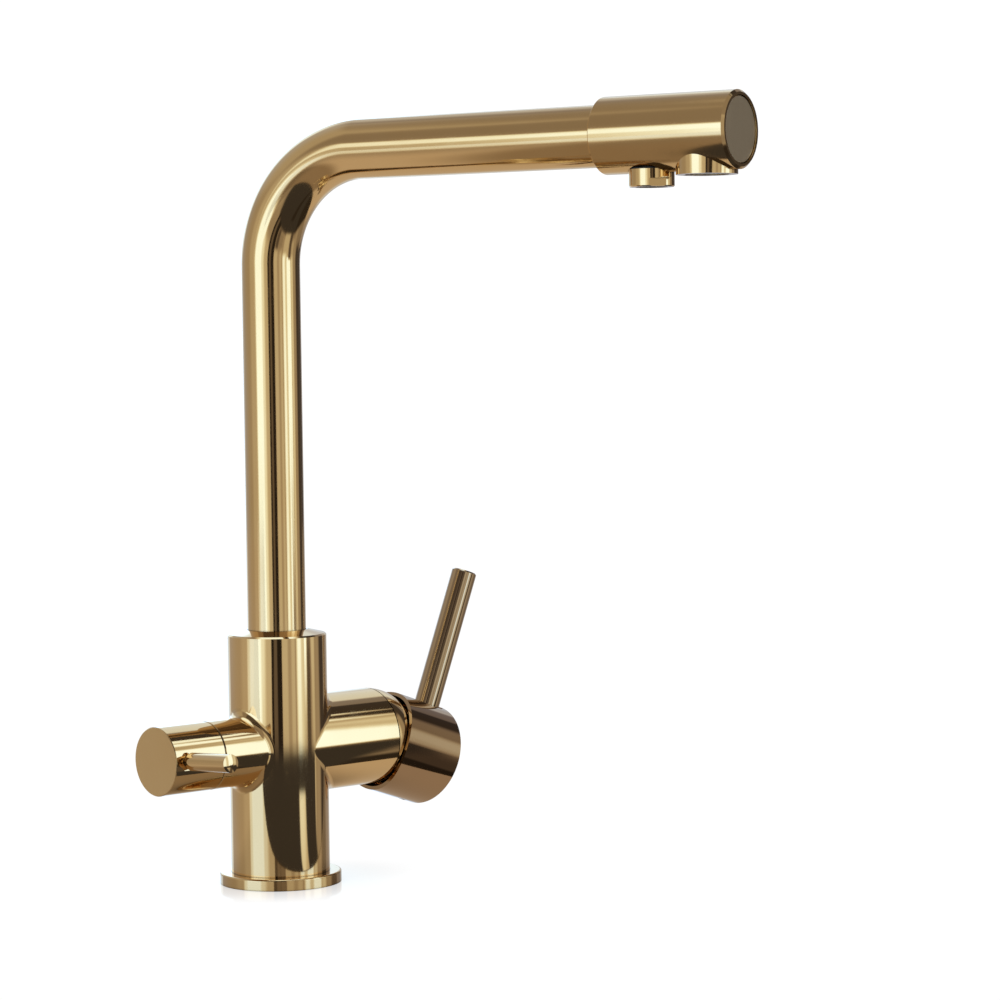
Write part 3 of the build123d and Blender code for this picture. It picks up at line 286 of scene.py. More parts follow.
def new_group(name, kind, inputs, outputs):
    """A node group with named sockets; returns it with its input and output nodes."""
    tree = bpy.data.node_groups.new(name, kind)
    for direction, rows in (("INPUT", inputs), ("OUTPUT", outputs)):
        for label, socket_kind, *default in rows:
            socket = tree.interface.new_socket(
                label, in_out=direction, socket_type="NodeSocket" + socket_kind
            )
            if default:
                socket.default_value = default[0]
    return tree, tree.nodes.new("NodeGroupInput"), tree.nodes.new("NodeGroupOutput")


def place_group(tree, name, inputs):
    """Places the group with this name in a tree; returns its outputs, by name."""
    group = bpy.data.node_groups[name]
    return add_node(tree, "ShaderNodeGroup", inputs, node_tree=group).outputs


# ---- Effects shared by the finishes ----
# A scale is in cells for each metre. Limits say between which values of a noise a mark fades in.
SCRATCH_SCALE = (1400.0, 90.0, 1400.0)
SCRATCH_TURNS = ((0.3, 0.2, 0.5), (1.4, -0.5, 1.1))
SCRATCH_LIMITS = (0.66, 0.72)
SCRATCH_PATCH_SCALE = 60.0
SCRATCH_PATCH_LIMITS = (0.45, 0.62)
SMUDGE_SCALE = 32.0
SMUDGE_LIMITS = (0.42, 0.78)
SPOT_SCALE = 170.0
SPOT_LIMITS = (0.16, 0.08)
SPOT_PATCH_SCALE = 45.0
SPOT_PATCH_LIMITS = (0.52, 0.6)
MOTTLE_SCALE = 140.0


def new_effect(name, inputs, outputs):
    """A shader group that takes a vector and numbers; returns it, its inputs and its outputs."""
    rows = [("Vector", "Vector"), *((label, "Float", value) for label, value in inputs.items())]
    tree, start, end = new_group(name, "ShaderNodeTree", rows, floats(*outputs))
    return tree, start.outputs, end.inputs


def relief(tree, waves, depth):
    """Waves around nothing, as a height in metres."""
    return times(tree, maths(tree, "SUBTRACT", waves, 0.5), depth)


def make_ripple_group():
    """Long soft waves that polishing leaves in a surface, as a height in metres."""
    sizes = {"Wave Size": 0.015, "Depth": 1e-5}
    tree, given, made = new_effect("polishing_ripple", sizes, ("Height",))
    scale = maths(tree, "DIVIDE", 1.0, given["Wave Size"])
    waves = noise(tree, given["Vector"], scale, 1.0)
    tree.links.new(relief(tree, waves, given["Depth"]), made["Height"])


def make_scratch_group():
    """Short hairline scratches in two directions, as a mask and a height in metres."""
    sizes = {"Amount": 0.5, "Depth": 5e-7}
    tree, given, made = new_effect("hairline_scratches", sizes, ("Mask", "Height"))
    vector = given["Vector"]
    masks = []
    for turn in SCRATCH_TURNS:
        lines = noise(tree, stretched(tree, vector, SCRATCH_SCALE, turn), 1.0, 1.0)
        thin = ramp(tree, lines, *SCRATCH_LIMITS)
        patches = noise(tree, vector, SCRATCH_PATCH_SCALE, 1.0)
        masks.append(times(tree, thin, ramp(tree, patches, *SCRATCH_PATCH_LIMITS)))
    mask = times(tree, maths(tree, "MAXIMUM", *masks), given["Amount"])
    tree.links.new(mask, made["Mask"])
    tree.links.new(times(tree, given["Depth"], -1.0, mask), made["Height"])


def make_smudge_group():
    """Faint handling marks and dried water spots, as a mask."""
    tree, given, made = new_effect("smudges_and_spots", {"Smudges": 0.5, "Spots": 0.3}, ("Mask",))
    vector = given["Vector"]
    broad = ramp(tree, noise(tree, vector, SMUDGE_SCALE, 4.0, 0.62), *SMUDGE_LIMITS)
    smudges = times(tree, broad, given["Smudges"])
    cells = add_node(tree, "ShaderNodeTexVoronoi", {"Vector": vector, "Scale": SPOT_SCALE})
    spots = ramp(tree, cells.outputs["Distance"], *SPOT_LIMITS)
    chosen = ramp(tree, noise(tree, vector, SPOT_PATCH_SCALE, 0.0), *SPOT_PATCH_LIMITS)
    few = times(tree, spots, chosen, given["Spots"])
    tree.links.new(maths(tree, "MAXIMUM", smudges, few), made["Mask"])


def make_grain_group():
    """Straight brushed or turned lines, as a mask and a height in metres."""
    sizes = {"Line Step": 0.0004, "Depth": 1e-6}
    tree, given, made = new_effect("brushed_grain", sizes, ("Mask", "Height"))
    scale = maths(tree, "DIVIDE", 1.0, given["Line Step"])
    fine = noise(tree, given["Vector"], scale, 3.0, 0.7)
    tree.links.new(fine, made["Mask"])
    tree.links.new(relief(tree, fine, given["Depth"]), made["Height"])


def make_moulded_group():
    """Fine moulded texture with a cloudy mottle, as a mask and a height in metres."""
    sizes = {"Grain Size": 0.0003, "Depth": 4e-6}
    tree, given, made = new_effect("moulded_texture", sizes, ("Mottle", "Height"))
    tree.links.new(noise(tree, given["Vector"], MOTTLE_SCALE, 3.0), made["Mottle"])
    scale = maths(tree, "DIVIDE", 1.0, given["Grain Size"])
    grain = noise(tree, given["Vector"], scale)
    tree.links.new(relief(tree, grain, given["Depth"]), made["Height"])


EFFECTS = (
    make_ripple_group,
    make_scratch_group,
    make_smudge_group,
    make_grain_group,
    make_moulded_group,
)


# ---- Finishes ----
# Painted shade: the colour turns dark brown in recesses narrower than this, where shade falls.
RECESS_REACH = 1.2 * MM
RECESS_SAMPLES = 6
RECESS_LIMITS = (0.30, 0.80)
RECESS_SHADE_TONE = (0.05, 0.035, 0.02, 1.0)
CLOUD_SCALE = 14.0
CLOUD_LIMITS = (0.3, 0.75)
# The brushed end of the knob: how deep it reaches from the knob's end, and how far it fades out.
FACE_DEPTH = 0.3 * MM
FACE_FADE = 0.1 * MM
# Grain is drawn out along Z on brushed ends, and around the upright axis on turned metal.
BRUSHED_STRETCH = (1.0, 1.0, 0.02)
TURNED_STRETCH = (0.03, 0.03, 1.0)
# How bright a second colour is against the first.
DEEP_SHARE = 0.93
TARNISH_SHARE = 0.62


def dimmed(tone, part):
    """The colour at a part of its brightness."""
    return tuple(channel * part for channel in tone)


def new_finish(name, metallic=1.0):
    """A material with a plain shader; returns it, its tree, the shader and the piece's place."""
    material = bpy.data.materials.new(name)
    tree = empty_tree(material)
    shader = add_node(tree, "ShaderNodeBsdfPrincipled", {"Metallic": metallic})
    add_node(tree, "ShaderNodeOutputMaterial", {"Surface": shader.outputs[0]})
    place = tree.nodes.new("ShaderNodeTexCoord").outputs["Object"]
    return material, tree, shader, place


def close_finish(tree, shader, tint, rough, height):
    """Feeds a colour, a roughness and a height in metres to the shader."""
    tree.links.new(tint, shader.inputs["Base Color"])
    tree.links.new(rough, shader.inputs["Roughness"])
    bump = add_node(tree, "ShaderNodeBump", {"Height": height, "Strength": 1.0, "Distance": 1.0})
    tree.links.new(bump.outputs[0], shader.inputs["Normal"])


def smudges_on(tree, place, smudges, spots):
    """Smudges and water spots on a finish, as a mask."""
    inputs = {"Vector": place, "Smudges": smudges, "Spots": spots}
    return place_group(tree, "smudges_and_spots", inputs)["Mask"]


def grain_on(tree, vector, line_step, depth):
    """Grain on a finish; returns its mask and its height, by name."""
    inputs = {"Vector": vector, "Line Step": line_step, "Depth": depth}
    return place_group(tree, "brushed_grain", inputs)


def paint_recess_shade(tree, tint):
    """The tint, turned dark brown in corners and joints as painted shade."""
    openness = open_share(tree, RECESS_REACH, samples=RECESS_SAMPLES)
    return mix_colours(tree, ramp(tree, openness, *RECESS_LIMITS), RECESS_SHADE_TONE, tint)


def make_polished(name, tones, roughness, wave_size, wave_depth, face):
    """Polished coating with ripple, hairlines and smudges. A face (axis, limit, roughness) adds a
    brushed flat end."""
    material, tree, shader, place = new_finish(name)
    light, deep = tones
    cloud = ramp(tree, noise(tree, place, CLOUD_SCALE, 3.0), *CLOUD_LIMITS)
    tint = mix_colours(tree, cloud, (*light, 1.0), (*deep, 1.0))
    waves = {"Vector": place, "Wave Size": wave_size, "Depth": wave_depth}
    ripple = place_group(tree, "polishing_ripple", waves)
    lines = {"Vector": place, "Amount": 0.6, "Depth": 4e-7}
    scratches = place_group(tree, "hairline_scratches", lines)
    smudges = smudges_on(tree, place, 0.6, 0.35)
    rough = ramp(tree, smudges, 0.0, 1.0, roughness, roughness + 0.09)
    rough = maths(tree, "ADD", rough, times(tree, scratches["Mask"], 0.06))
    height = maths(tree, "ADD", ripple["Height"], scratches["Height"])
    if face:
        axis, limit, satin = face
        on_face = ramp(tree, parts_of(tree, place)[axis], limit, limit - FACE_FADE)
        brushed = grain_on(tree, stretched(tree, place, BRUSHED_STRETCH), 0.0005, 3e-6)
        rough = mix_values(tree, on_face, rough, satin)
        height = mix_values(tree, on_face, height, brushed["Height"])
    # The colour carries painted shade in corners and joints.
    close_finish(tree, shader, paint_recess_shade(tree, tint), rough, height)
    return material


def make_satin(name, tones, roughness):
    """Brushed coating with straight grain."""
    material, tree, shader, place = new_finish(name)
    light, deep = tones
    grain = grain_on(tree, stretched(tree, place, BRUSHED_STRETCH), 0.0006, 2.5e-6)
    smudges = smudges_on(tree, place, 0.5, 0.2)
    tint = mix_colours(tree, grain["Mask"], (*light, 1.0), (*deep, 1.0))
    rough = ramp(tree, smudges, 0.0, 1.0, roughness, roughness + 0.1)
    close_finish(tree, shader, tint, rough, grain["Height"])
    return material


def make_machined(name, tone, roughness, line_step):
    """Bare turned metal with tool lines and a slight tarnish."""
    material, tree, shader, place = new_finish(name)
    lines = grain_on(tree, stretched(tree, place, TURNED_STRETCH), line_step, 4e-6)
    tarnish = smudges_on(tree, place, 0.9, 0.4)
    tint = mix_colours(tree, tarnish, (*tone, 1.0), (*dimmed(tone, TARNISH_SHARE), 1.0))
    rough = ramp(tree, tarnish, 0.0, 1.0, roughness, roughness + 0.15)
    rough = maths(tree, "ADD", rough, times(tree, lines["Mask"], 0.18))
    close_finish(tree, shader, tint, rough, lines["Height"])
    return material


def make_moulded(name, tone, mottle, roughness, grain_size, depth):
    """Rubber, plastic or ceramic with a moulded skin. Mottle dims its second colour."""
    material, tree, shader, place = new_finish(name, metallic=0.0)
    grains = {"Vector": place, "Grain Size": grain_size, "Depth": depth}
    skin = place_group(tree, "moulded_texture", grains)
    smudges = smudges_on(tree, place, 0.7, 0.3)
    tint = mix_colours(tree, skin["Mottle"], (*tone, 1.0), (*dimmed(tone, mottle), 1.0))
    rough = ramp(tree, smudges, 0.0, 1.0, roughness, roughness + 0.15)
    close_finish(tree, shader, tint, rough, skin["Height"])
    return material


def make_finishes(scene):
    """Every finish of the tap, by name."""
    look = scene.tap_finish
    for make_group in EFFECTS:
        make_group()
    gloss, satin = look.gold_roughness, look.satin_roughness
    gold = (look.gold, look.gold_deep)
    lever, cap, end = (
        (tone, dimmed(tone, DEEP_SHARE)) for tone in (look.lever_gold, look.cap_gold, look.end_gold)
    )
    knob_face = ("X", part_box("filter_knob")[0].x + FACE_DEPTH, satin)
    # Finish, material, two colours, roughness, wave size, wave depth, brushed face
    polished = (
        ("gold_coating", "cast_gold", gold, gloss, 0.013, 1.6e-5, None),
        ("tube_gold", "tube_gold", gold, gloss + 0.03, 0.05, 1.2e-5, None),
        ("knob_gold", "knob_gold", gold, gloss, 0.02, 0.8e-5, knob_face),
        ("lever_gold", "lever_gold", lever, gloss, 0.03, 0.8e-5, None),
        ("cap_gold", "cap_gold", cap, gloss, 0.02, 0.8e-5, None),
    )
    # Finish, material, colour, roughness, distance between the tool lines
    machined = (
        ("plain_brass", "machined_brass", look.brass, 0.22, 0.0005),
        ("steel", "turned_steel", look.steel, 0.26, 0.0004),
    )
    # Finish, material, colour, mottle, roughness, grain size, grain depth
    moulded = (
        ("black_rubber", "seal_rubber", look.rubber, 1.8, 0.55, 0.0005, 1.2e-5),
        ("white_plastic", "white_plastic", look.white_plastic, 0.9, 0.32, 0.0004, 4e-6),
        ("grey_plastic", "grey_plastic", look.grey_plastic, 0.8, 0.38, 0.0004, 5e-6),
        ("ceramic", "disc_ceramic", look.ceramic, 0.94, 0.12, 0.0006, 8e-7),
    )
    finishes = {"end_cap_gold": make_satin("end_cap_gold", end, satin)}
    tables = ((make_polished, polished), (make_machined, machined), (make_moulded, moulded))
    for make, rows in tables:
        for name, *row in rows:
            finishes[name] = make(*row)
    return finishes


SPECIAL_FINISH = {
    "filter_knob": "knob_gold",
    "mixer_cap": "cap_gold",
    "lever_rod": "lever_gold",
    "head_end_cap": "end_cap_gold",
    "head_body": "tube_gold",
}


# ---- Helpers for pieces ----
# Metres within which two points are one, and degrees past which an edge stays sharp.
MERGE = 1e-6
WIRE_MERGE = 1e-7
CREASE = 30.0
THREAD_CREASE = 25.0
WIRE_CREASE = 50.0


def make_piece(name, mesh):
    """A new object at the origin, in the scene."""
    piece = bpy.data.objects.new(name, mesh)
    bpy.context.scene.collection.objects.link(piece)
    return piece


def grown(name, tree, size, **more):
    """The plain mesh that a geometry tree makes. Its inputs are named after the settings."""
    seed = make_piece(name + "_seed", bpy.data.meshes.new(name + "_seed"))
    modifier = seed.modifiers.new(tree.name, "NODES")
    modifier.node_group = tree
    for item in tree.interface.items_tree:
        if item.in_out == "INPUT":
            given = more.get(item.name)
            modifier[item.identifier] = getattr(size, item.name) if given is None else given
    seen = seed.evaluated_get(bpy.context.evaluated_depsgraph_get())
    mesh = bpy.data.meshes.new_from_object(seen)
    mesh.name = name
    bpy.data.objects.remove(seed)
    return mesh


def settled(piece):
    """Applies a piece's modifiers to its mesh."""
    seen = piece.evaluated_get(bpy.context.evaluated_depsgraph_get())
    mesh = bpy.data.meshes.new_from_object(seen)
    mesh.name = piece.name
    piece.modifiers.clear()
    piece.data = mesh


def tidy(mesh, merge=MERGE):
    """Merges doubles and turns the faces outwards."""
    form = bmesh.new()
    form.from_mesh(mesh)
    bmesh.ops.remove_doubles(form, verts=form.verts, dist=merge)
    bmesh.ops.recalc_face_normals(form, faces=form.faces)
    form.to_mesh(mesh)
    form.free()


def shade(mesh, degrees=CREASE):
    """Smooth shading with sharp edges past an angle."""
    mesh.shade_smooth()
    mesh.set_sharp_from_angle(angle=math.radians(degrees))


def finish_of(name):
    """A finish that was made before."""
    material = bpy.data.materials.get(name)
    if material is None:
        raise RuntimeError(f"make the finishes before {name} is used")
    return material


def swing_matrix(scene):
    """Turns a piece from straight ahead to where the spout stands."""
    return Matrix.Rotation(scene.tap_spout.swing, 4, "Z")


# ---- Geometry trees ----
# The thread's grid: rows to a pitch, and points around.
THREAD_ROWS = 8
THREAD_AROUND = 72
# The thread's shape, in parts of a pitch: its flat root, then each flank. The nudge keeps a row
# that lies on a corner of the shape on one side of it.
THREAD_ROOT = 0.125
THREAD_FLANK = 0.375
THREAD_NUDGE = 0.001
# Points nearer than this are one point.
THREAD_MERGE = 0.002 * MM
WIRE_SIDES = 6
# The second layer of wires lies this far above the first, so that they touch.
WIRE_LAYER = 0.13 * MM


def point_places(tree):
    """The X, Y and Z of every point, by name."""
    return parts_of(tree, tree.nodes.new("GeometryNodeInputPosition").outputs[0])


def moved(tree, geometry, places):
    """The geometry with its points at new places."""
    inputs = {"Geometry": geometry, "Position": places}
    return add_node(tree, "GeometryNodeSetPosition", inputs).outputs[0]


def circle(tree, steps, radius):
    """A round section."""
    inputs = {"Resolution": steps, "Radius": radius}
    return add_node(tree, "GeometryNodeCurvePrimitiveCircle", inputs).outputs[0]


def swept(tree, curve, section, caps=False):
    """A section drawn along a curve."""
    inputs = {"Curve": curve, "Profile Curve": section, "Fill Caps": caps}
    return add_node(tree, "GeometryNodeCurveToMesh", inputs).outputs[0]


def close_tree(tree, geometry, material, end):
    """Ends a geometry tree: real geometry with a material."""
    real = add_node(tree, "GeometryNodeRealizeInstances", {"Geometry": geometry}).outputs[0]
    made = add_node(tree, "GeometryNodeSetMaterial", {"Geometry": real, "Material": material})
    tree.links.new(made.outputs[0], end.inputs["Geometry"])


def new_shape(name, inputs):
    """A geometry tree; returns it, its inputs by name, and its output node."""
    tree, start, end = new_group(name, "GeometryNodeTree", inputs, [("Geometry", "Geometry")])
    return tree, start.outputs, end


def make_bent_tube_tree(material):
    """A round tube that rises, bends once and runs level along -Y."""
    sizes = floats("foot", "height", "reach", "bend", "radius")
    steps = [("bend_steps", "Int"), ("round_steps", "Int")]
    tree, given, end = new_shape("bent_tube", sizes + steps)
    line = add_node(tree, "GeometryNodeMeshLine", {"Count": 3})
    index = tree.nodes.new("GeometryNodeInputIndex").outputs[0]
    risen = maths(tree, "GREATER_THAN", index, 0.5)
    levelled = maths(tree, "GREATER_THAN", index, 1.5)
    height = mix_values(tree, risen, given["foot"], given["height"])
    reach = times(tree, given["reach"], -1.0, levelled)
    corners = moved(tree, line.outputs[0], vector_of(tree, 0.0, reach, height))
    path = add_node(tree, "GeometryNodeMeshToCurve", {"Mesh": corners}).outputs[0]
    inputs = {"Curve": path, "Count": given["bend_steps"], "Radius": given["bend"]}
    bent = add_node(tree, "GeometryNodeFilletCurve", inputs, mode="POLY").outputs[0]
    section = circle(tree, given["round_steps"], given["radius"])
    close_tree(tree, swept(tree, bent, section), material, end)
    return tree


def make_thread_tree(material):
    """The threaded outside of a shank. Each row of the grid follows the helix."""
    sizes = floats("low", "high", "radius", "depth", "pitch", "run_out")
    steps = [("rows", "Int"), ("around", "Int")]
    tree, given, end = new_shape("helical_thread", sizes + steps)
    rows = maths(tree, "ADD", given["rows"], 1.0)
    columns = maths(tree, "ADD", given["around"], 1.0)
    inputs = {"Size X": 1.0, "Size Y": 1.0, "Vertices X": rows, "Vertices Y": columns}
    grid = add_node(tree, "GeometryNodeMeshGrid", inputs)
    spot = point_places(tree)
    along = maths(tree, "ADD", spot["X"], 0.5)
    around = maths(tree, "ADD", spot["Y"], 0.5)
    row = times(tree, along, given["rows"])
    pitches = maths(tree, "DIVIDE", row, float(THREAD_ROWS))
    turns = maths(tree, "ADD", pitches, around)
    rise = times(tree, maths(tree, "SUBTRACT", turns, 1.0), given["pitch"])
    free = maths(tree, "ADD", given["low"], rise)
    height = maths(tree, "MINIMUM", maths(tree, "MAXIMUM", free, given["low"]), given["high"])
    phase = maths(tree, "FRACT", maths(tree, "ADD", pitches, THREAD_NUDGE))
    past_root = maths(tree, "SUBTRACT", phase, THREAD_ROOT + THREAD_NUDGE)
    to_root = maths(tree, "SUBTRACT", 1.0 + THREAD_NUDGE, phase)
    up = maths(tree, "DIVIDE", past_root, THREAD_FLANK)
    down = maths(tree, "DIVIDE", to_root, THREAD_FLANK)
    crest = maths(tree, "MINIMUM", maths(tree, "MINIMUM", up, down), 1.0)
    crest = maths(tree, "MAXIMUM", crest, 0.0)
    from_low = maths(tree, "SUBTRACT", height, given["low"])
    from_high = maths(tree, "SUBTRACT", given["high"], height)
    from_end = maths(tree, "MINIMUM", from_low, from_high)
    fade = maths(tree, "MINIMUM", maths(tree, "DIVIDE", from_end, given["run_out"]), 1.0)
    lift = times(tree, crest, fade, given["depth"])
    root = maths(tree, "SUBTRACT", given["radius"], given["depth"])
    radius = maths(tree, "ADD", root, lift)
    bearing = times(tree, around, FULL_TURN)
    places = vector_of(
        tree,
        times(tree, radius, maths(tree, "COSINE", bearing)),
        times(tree, radius, maths(tree, "SINE", bearing)),
        height,
    )
    rolled = moved(tree, grid.outputs[0], places)
    inputs = {"Geometry": rolled, "Distance": THREAD_MERGE}
    closed = add_node(tree, "GeometryNodeMergeByDistance", inputs)
    close_tree(tree, closed.outputs[0], material, end)
    return tree


def make_screen_tree(material):
    """A round wire screen: two layers of straight wires cut to a circle."""
    sizes = floats("radius", "step", "wire")
    tree, given, end = new_shape("wire_screen", [*sizes, ("wires", "Int")])
    last = maths(tree, "SUBTRACT", given["wires"], 1.0)
    half_span = times(tree, last, given["step"], -0.5)
    inputs = {
        "Count": given["wires"],
        "Start Location": vector_of(tree, half_span),
        "Offset": vector_of(tree, given["step"]),
    }
    row = add_node(tree, "GeometryNodeMeshLine", inputs)
    across = point_places(tree)["X"]
    square = times(tree, across, across)
    limit = times(tree, given["radius"], given["radius"])
    half = maths(tree, "SQRT", maths(tree, "SUBTRACT", limit, square))
    inputs = {"Start": (0.0, -1.0, 0.0), "End": (0.0, 1.0, 0.0)}
    unit = add_node(tree, "GeometryNodeCurvePrimitiveLine", inputs)
    section = circle(tree, WIRE_SIDES, given["wire"])
    wire = swept(tree, unit.outputs[0], section, caps=True)
    size = vector_of(tree, 1.0, half, 1.0)
    inputs = {"Points": row.outputs[0], "Instance": wire, "Scale": size}
    laid = add_node(tree, "GeometryNodeInstanceOnPoints", inputs).outputs[0]
    inputs = {
        "Geometry": laid,
        "Rotation": (0.0, 0.0, math.pi / 2),
        "Translation": (0.0, 0.0, WIRE_LAYER),
    }
    crossed = add_node(tree, "GeometryNodeTransform", inputs).outputs[0]
    join = tree.nodes.new("GeometryNodeJoinGeometry")
    for layer in (laid, crossed):
        tree.links.new(layer, join.inputs[0])
    close_tree(tree, join.outputs[0], material, end)
    return tree


# ---- Operators ----
class TAP_OT_make_finishes(bpy.types.Operator):
    """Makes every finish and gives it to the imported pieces."""

    bl_idname = "tap.make_finishes"
    bl_label = "Make finishes"

    def execute(self, context):
        finishes = make_finishes(context.scene)
        for name, node in NODES.items():
            slot = node.data.materials[0].name.split(".")[0]
            finish = finishes.get(SPECIAL_FINISH.get(name, slot))
            if finish is None:
                raise RuntimeError(f"no finish for {name} in slot {slot}")
            for place in node.material_slots:
                place.material = finish
        return {"FINISHED"}


class TAP_OT_make_spout_tube(bpy.types.Operator):
    """Makes the bent spout tube with its real wall."""

    bl_idname = "tap.make_spout_tube"
    bl_label = "Make spout tube"

    def execute(self, context):
        size = context.scene.tap_spout
        tree = make_bent_tube_tree(finish_of("tube_gold"))
        mesh = grown("spout_tube_polished", tree, size)
        tidy(mesh)
        mesh.transform(swing_matrix(context.scene))
        piece = make_piece("spout_tube_polished", mesh)
        wall = piece.modifiers.new("wall", "SOLIDIFY")
        wall.thickness = size.wall
        wall.offset = -1.0
        settled(piece)
        shade(piece.data)
        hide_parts("spout_tube")
        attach(piece, "spout")
        return {"FINISHED"}


class TAP_OT_make_shank(bpy.types.Operator):
    """Makes the fixing shank with its real outside thread."""

    bl_idname = "tap.make_shank"
    bl_label = "Make threaded shank"

    def execute(self, context):
        size = context.scene.tap_thread
        pitches = math.ceil((size.high - size.low) / size.pitch) + 1
        rows = THREAD_ROWS * pitches
        tree = make_thread_tree(finish_of("machined_brass"))
        mesh = grown("mounting_shank_threaded", tree, size, rows=rows, around=THREAD_AROUND)
        close_bore(mesh, size.bore)
        shade(mesh, THREAD_CREASE)
        piece = make_piece("mounting_shank_threaded", mesh)
        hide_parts("mounting_shank")
        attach(piece, "root")
        return {"FINISHED"}


def close_bore(mesh, bore):
    """Adds the two end faces and the bore to a threaded outside."""
    tidy(mesh, THREAD_MERGE)
    form = bmesh.new()
    form.from_mesh(mesh)
    rims = [edge for edge in form.edges if edge.is_boundary]
    made = bmesh.ops.extrude_edge_only(form, edges=rims)["geom"]
    inner = [part for part in made if isinstance(part, bmesh.types.BMVert)]
    for vert in inner:
        flat = Vector((vert.co.x, vert.co.y)).normalized() * bore
        vert.co.x, vert.co.y = flat.x, flat.y
    inner_set = set(inner)
    loops = [edge for edge in form.edges if edge.is_boundary and set(edge.verts) <= inner_set]
    bmesh.ops.bridge_loops(form, edges=loops)
    bmesh.ops.recalc_face_normals(form, faces=form.faces)
    form.to_mesh(mesh)
    form.free()


class TAP_OT_make_screens(bpy.types.Operator):
    """Makes the wire screens behind the two outlets."""

    bl_idname = "tap.make_screens"
    bl_label = "Make outlet screens"

    def execute(self, context):
        size = context.scene.tap_screen
        tree = make_screen_tree(finish_of("turned_steel"))
        axis_height = context.scene.tap_spout.height
        rows = (
            ("mixed_water_screen", size.mixed_radius, size.mixed_drop, size.mixed_reach),
            ("filtered_water_screen", size.filter_radius, size.filter_drop, size.filter_reach),
        )
        for name, radius, drop, reach in rows:
            wires = 2 * int((radius - size.wire) / size.step) + 1
            mesh = grown(name, tree, size, radius=radius, wires=wires)
            outlet = Matrix.Translation((0, -reach, axis_height - drop))
            mesh.transform(swing_matrix(context.scene) @ outlet)
            tidy(mesh, WIRE_MERGE)
            shade(mesh, WIRE_CREASE)
            piece = make_piece(name, mesh)
            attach(piece, "spout")
        return {"FINISHED"}


# ---- Studio ----
# Each card: left, right, bottom and top edge in degrees, seen from the tap with the camera at 0 and
# right positive, then how soft the edges are in degrees, and how bright the card is. A later card
# lies over an earlier one.
CARDS = (
    # The ceiling, and the white wall behind the tap
    (-250, 250, 66, 120, 10, 1.15),
    (-215, -142, -60, 46, 14, 0.56),
    (-215, -166, -30, 25, 12, 1.20),
    (-168, -146, 4, 36, 8, 0.98),
    (160, 215, -90, -6, 16, 0.50),
    (176, 215, -8, 26, 10, 1.10),
    (158, 176, -4, 36, 10, 0.62),
    (150, 178, -4.5, 4, 4, 0.42),
    (152, 215, 20, 52, 8, 0.80),
    # The room on the left and the large soft light in it
    (-150, -88, 14, 54, 12, 0.46),
    (-142, -72, -12, 16, 12, 0.39),
    (-92, -60, -22, 14, 14, 0.52),
    (-84, -58, 24, 62, 12, 0.28),
    (-80, -20, -37, -16, 5, 0.28),
    (-74, -58, 3.5, 16, 5, 1.05),
    (-64.5, -32, -16, 15, 12, 1.55),
    # Beside the camera
    (-35, -13, -28, 16, 4, 0.60),
    (-40, -28, -9, 14, 9, 1.00),
    (-35, -13, -30, -11, 8, 0.36),
    (-62, -12, 18, 60, 8, 0.10),
    (10, 42, -28, 28, 4, 0.60),
    (24.5, 32.5, -28, 28, 6, 0.42),
    (10, 42, -30, -12, 10, 0.30),
    (12, 23, -30, -12, 4, 0.11),
    # The two strip lights on the right, with the stand between them and a dim neighbour
    (46, 71, -32, -4, 9, 0.58),
    (46, 62, -9, 30, 8, 1.18),
    (57, 65, -8, 30, 6, 0.82),
    (65, 83, -3, 30, 7, 1.45),
    (65, 82, -6.4, 1, 2, 1.25),
    (72, 84, -32, -4, 4, 0.10),
    (84, 98, -22, -4, 8, 0.50),
    (84, 98, -6, 36, 8, 0.80),
    # Dark screens on the right, and what shows between them
    (98, 134, -28, 62, 6, 0.06),
    (134, 150, 4, 60, 6, 0.26),
    (134, 152, -14, 6, 6, 0.06),
    (96, 112, -30, 30, 9, 0.37),
    (108, 134, -32, -12, 8, 0.26),
    (97, 132, 37, 60, 3, 0.05),
    (84, 95, 38, 50, 4, 1.20),
    (92, 106, 45.5, 53, 2.5, 1.15),
    # The camera on its stand
    (-13.5, 10.5, -32, 62, 2, 0.02),
    (-7.5, -0.5, -32, 62, 3, 0.14),
    (0, 10.5, 5, 30, 5, 0.16),
)
# How bright the room is between the cards, how bright it is low down, and the most a card gives.
ROOM_LEVEL = 0.30
DARK_LEVEL = 0.03
BRIGHTEST = 1.24
# Elevations, in degrees, between which the room goes from dark to its own level.
DARK_RISE = (-32.0, -26.0)
# The wall behind the tap is cooler than the room: the degrees between which that sets in.
COOL_BEARINGS = (100.0, 150.0)
COOL_FROM_BELOW = (-14.0, -4.0)
COOL_FROM_ABOVE = (66.0, 44.0)
# What the camera itself sees behind the tap.
BACKDROP_LEVEL = 1.05

# Radii of the floor's inner rings in metres, and the points around each.
FLOOR_RINGS = (0.05, 0.3)
FLOOR_STEPS = 96
# How far the tap shades the floor in metres, and its brightness from the closest shade to none.
SHADE_REACH = 0.05
SHADE_LIMITS = (0.2, 0.9)
SHADE_LEVELS = (0.80, 1.03)
# Distances from the upright between which the seen floor's faint mirror image sets in.
IMAGE_REACH = (0.060, 0.026)
IMAGE_SHARE = 0.30
IMAGE_TONE = (0.95, 0.88, 0.76, 1.0)
# The table that only the metal sees; its glow carries painted light and painted shade. It is paler,
# as painted light, past these places along Y and along X.
TABLE_TONE = (0.28, 0.22, 0.16, 1.0)
TABLE_LIT_TONE = (0.55, 0.47, 0.38, 1.0)
TABLE_LIT_DEPTH = (0.03, 0.10)
TABLE_LIT_SIDE = (0.02, 0.08)
TABLE_SHADE_LIMITS = (0.15, 0.95)
TABLE_SHADE_LEVELS = (0.12, 1.0)
TABLE_MIRROR_TONE = (0.95, 0.95, 0.95, 1.0)
TABLE_MIRROR_SHARE = 0.70
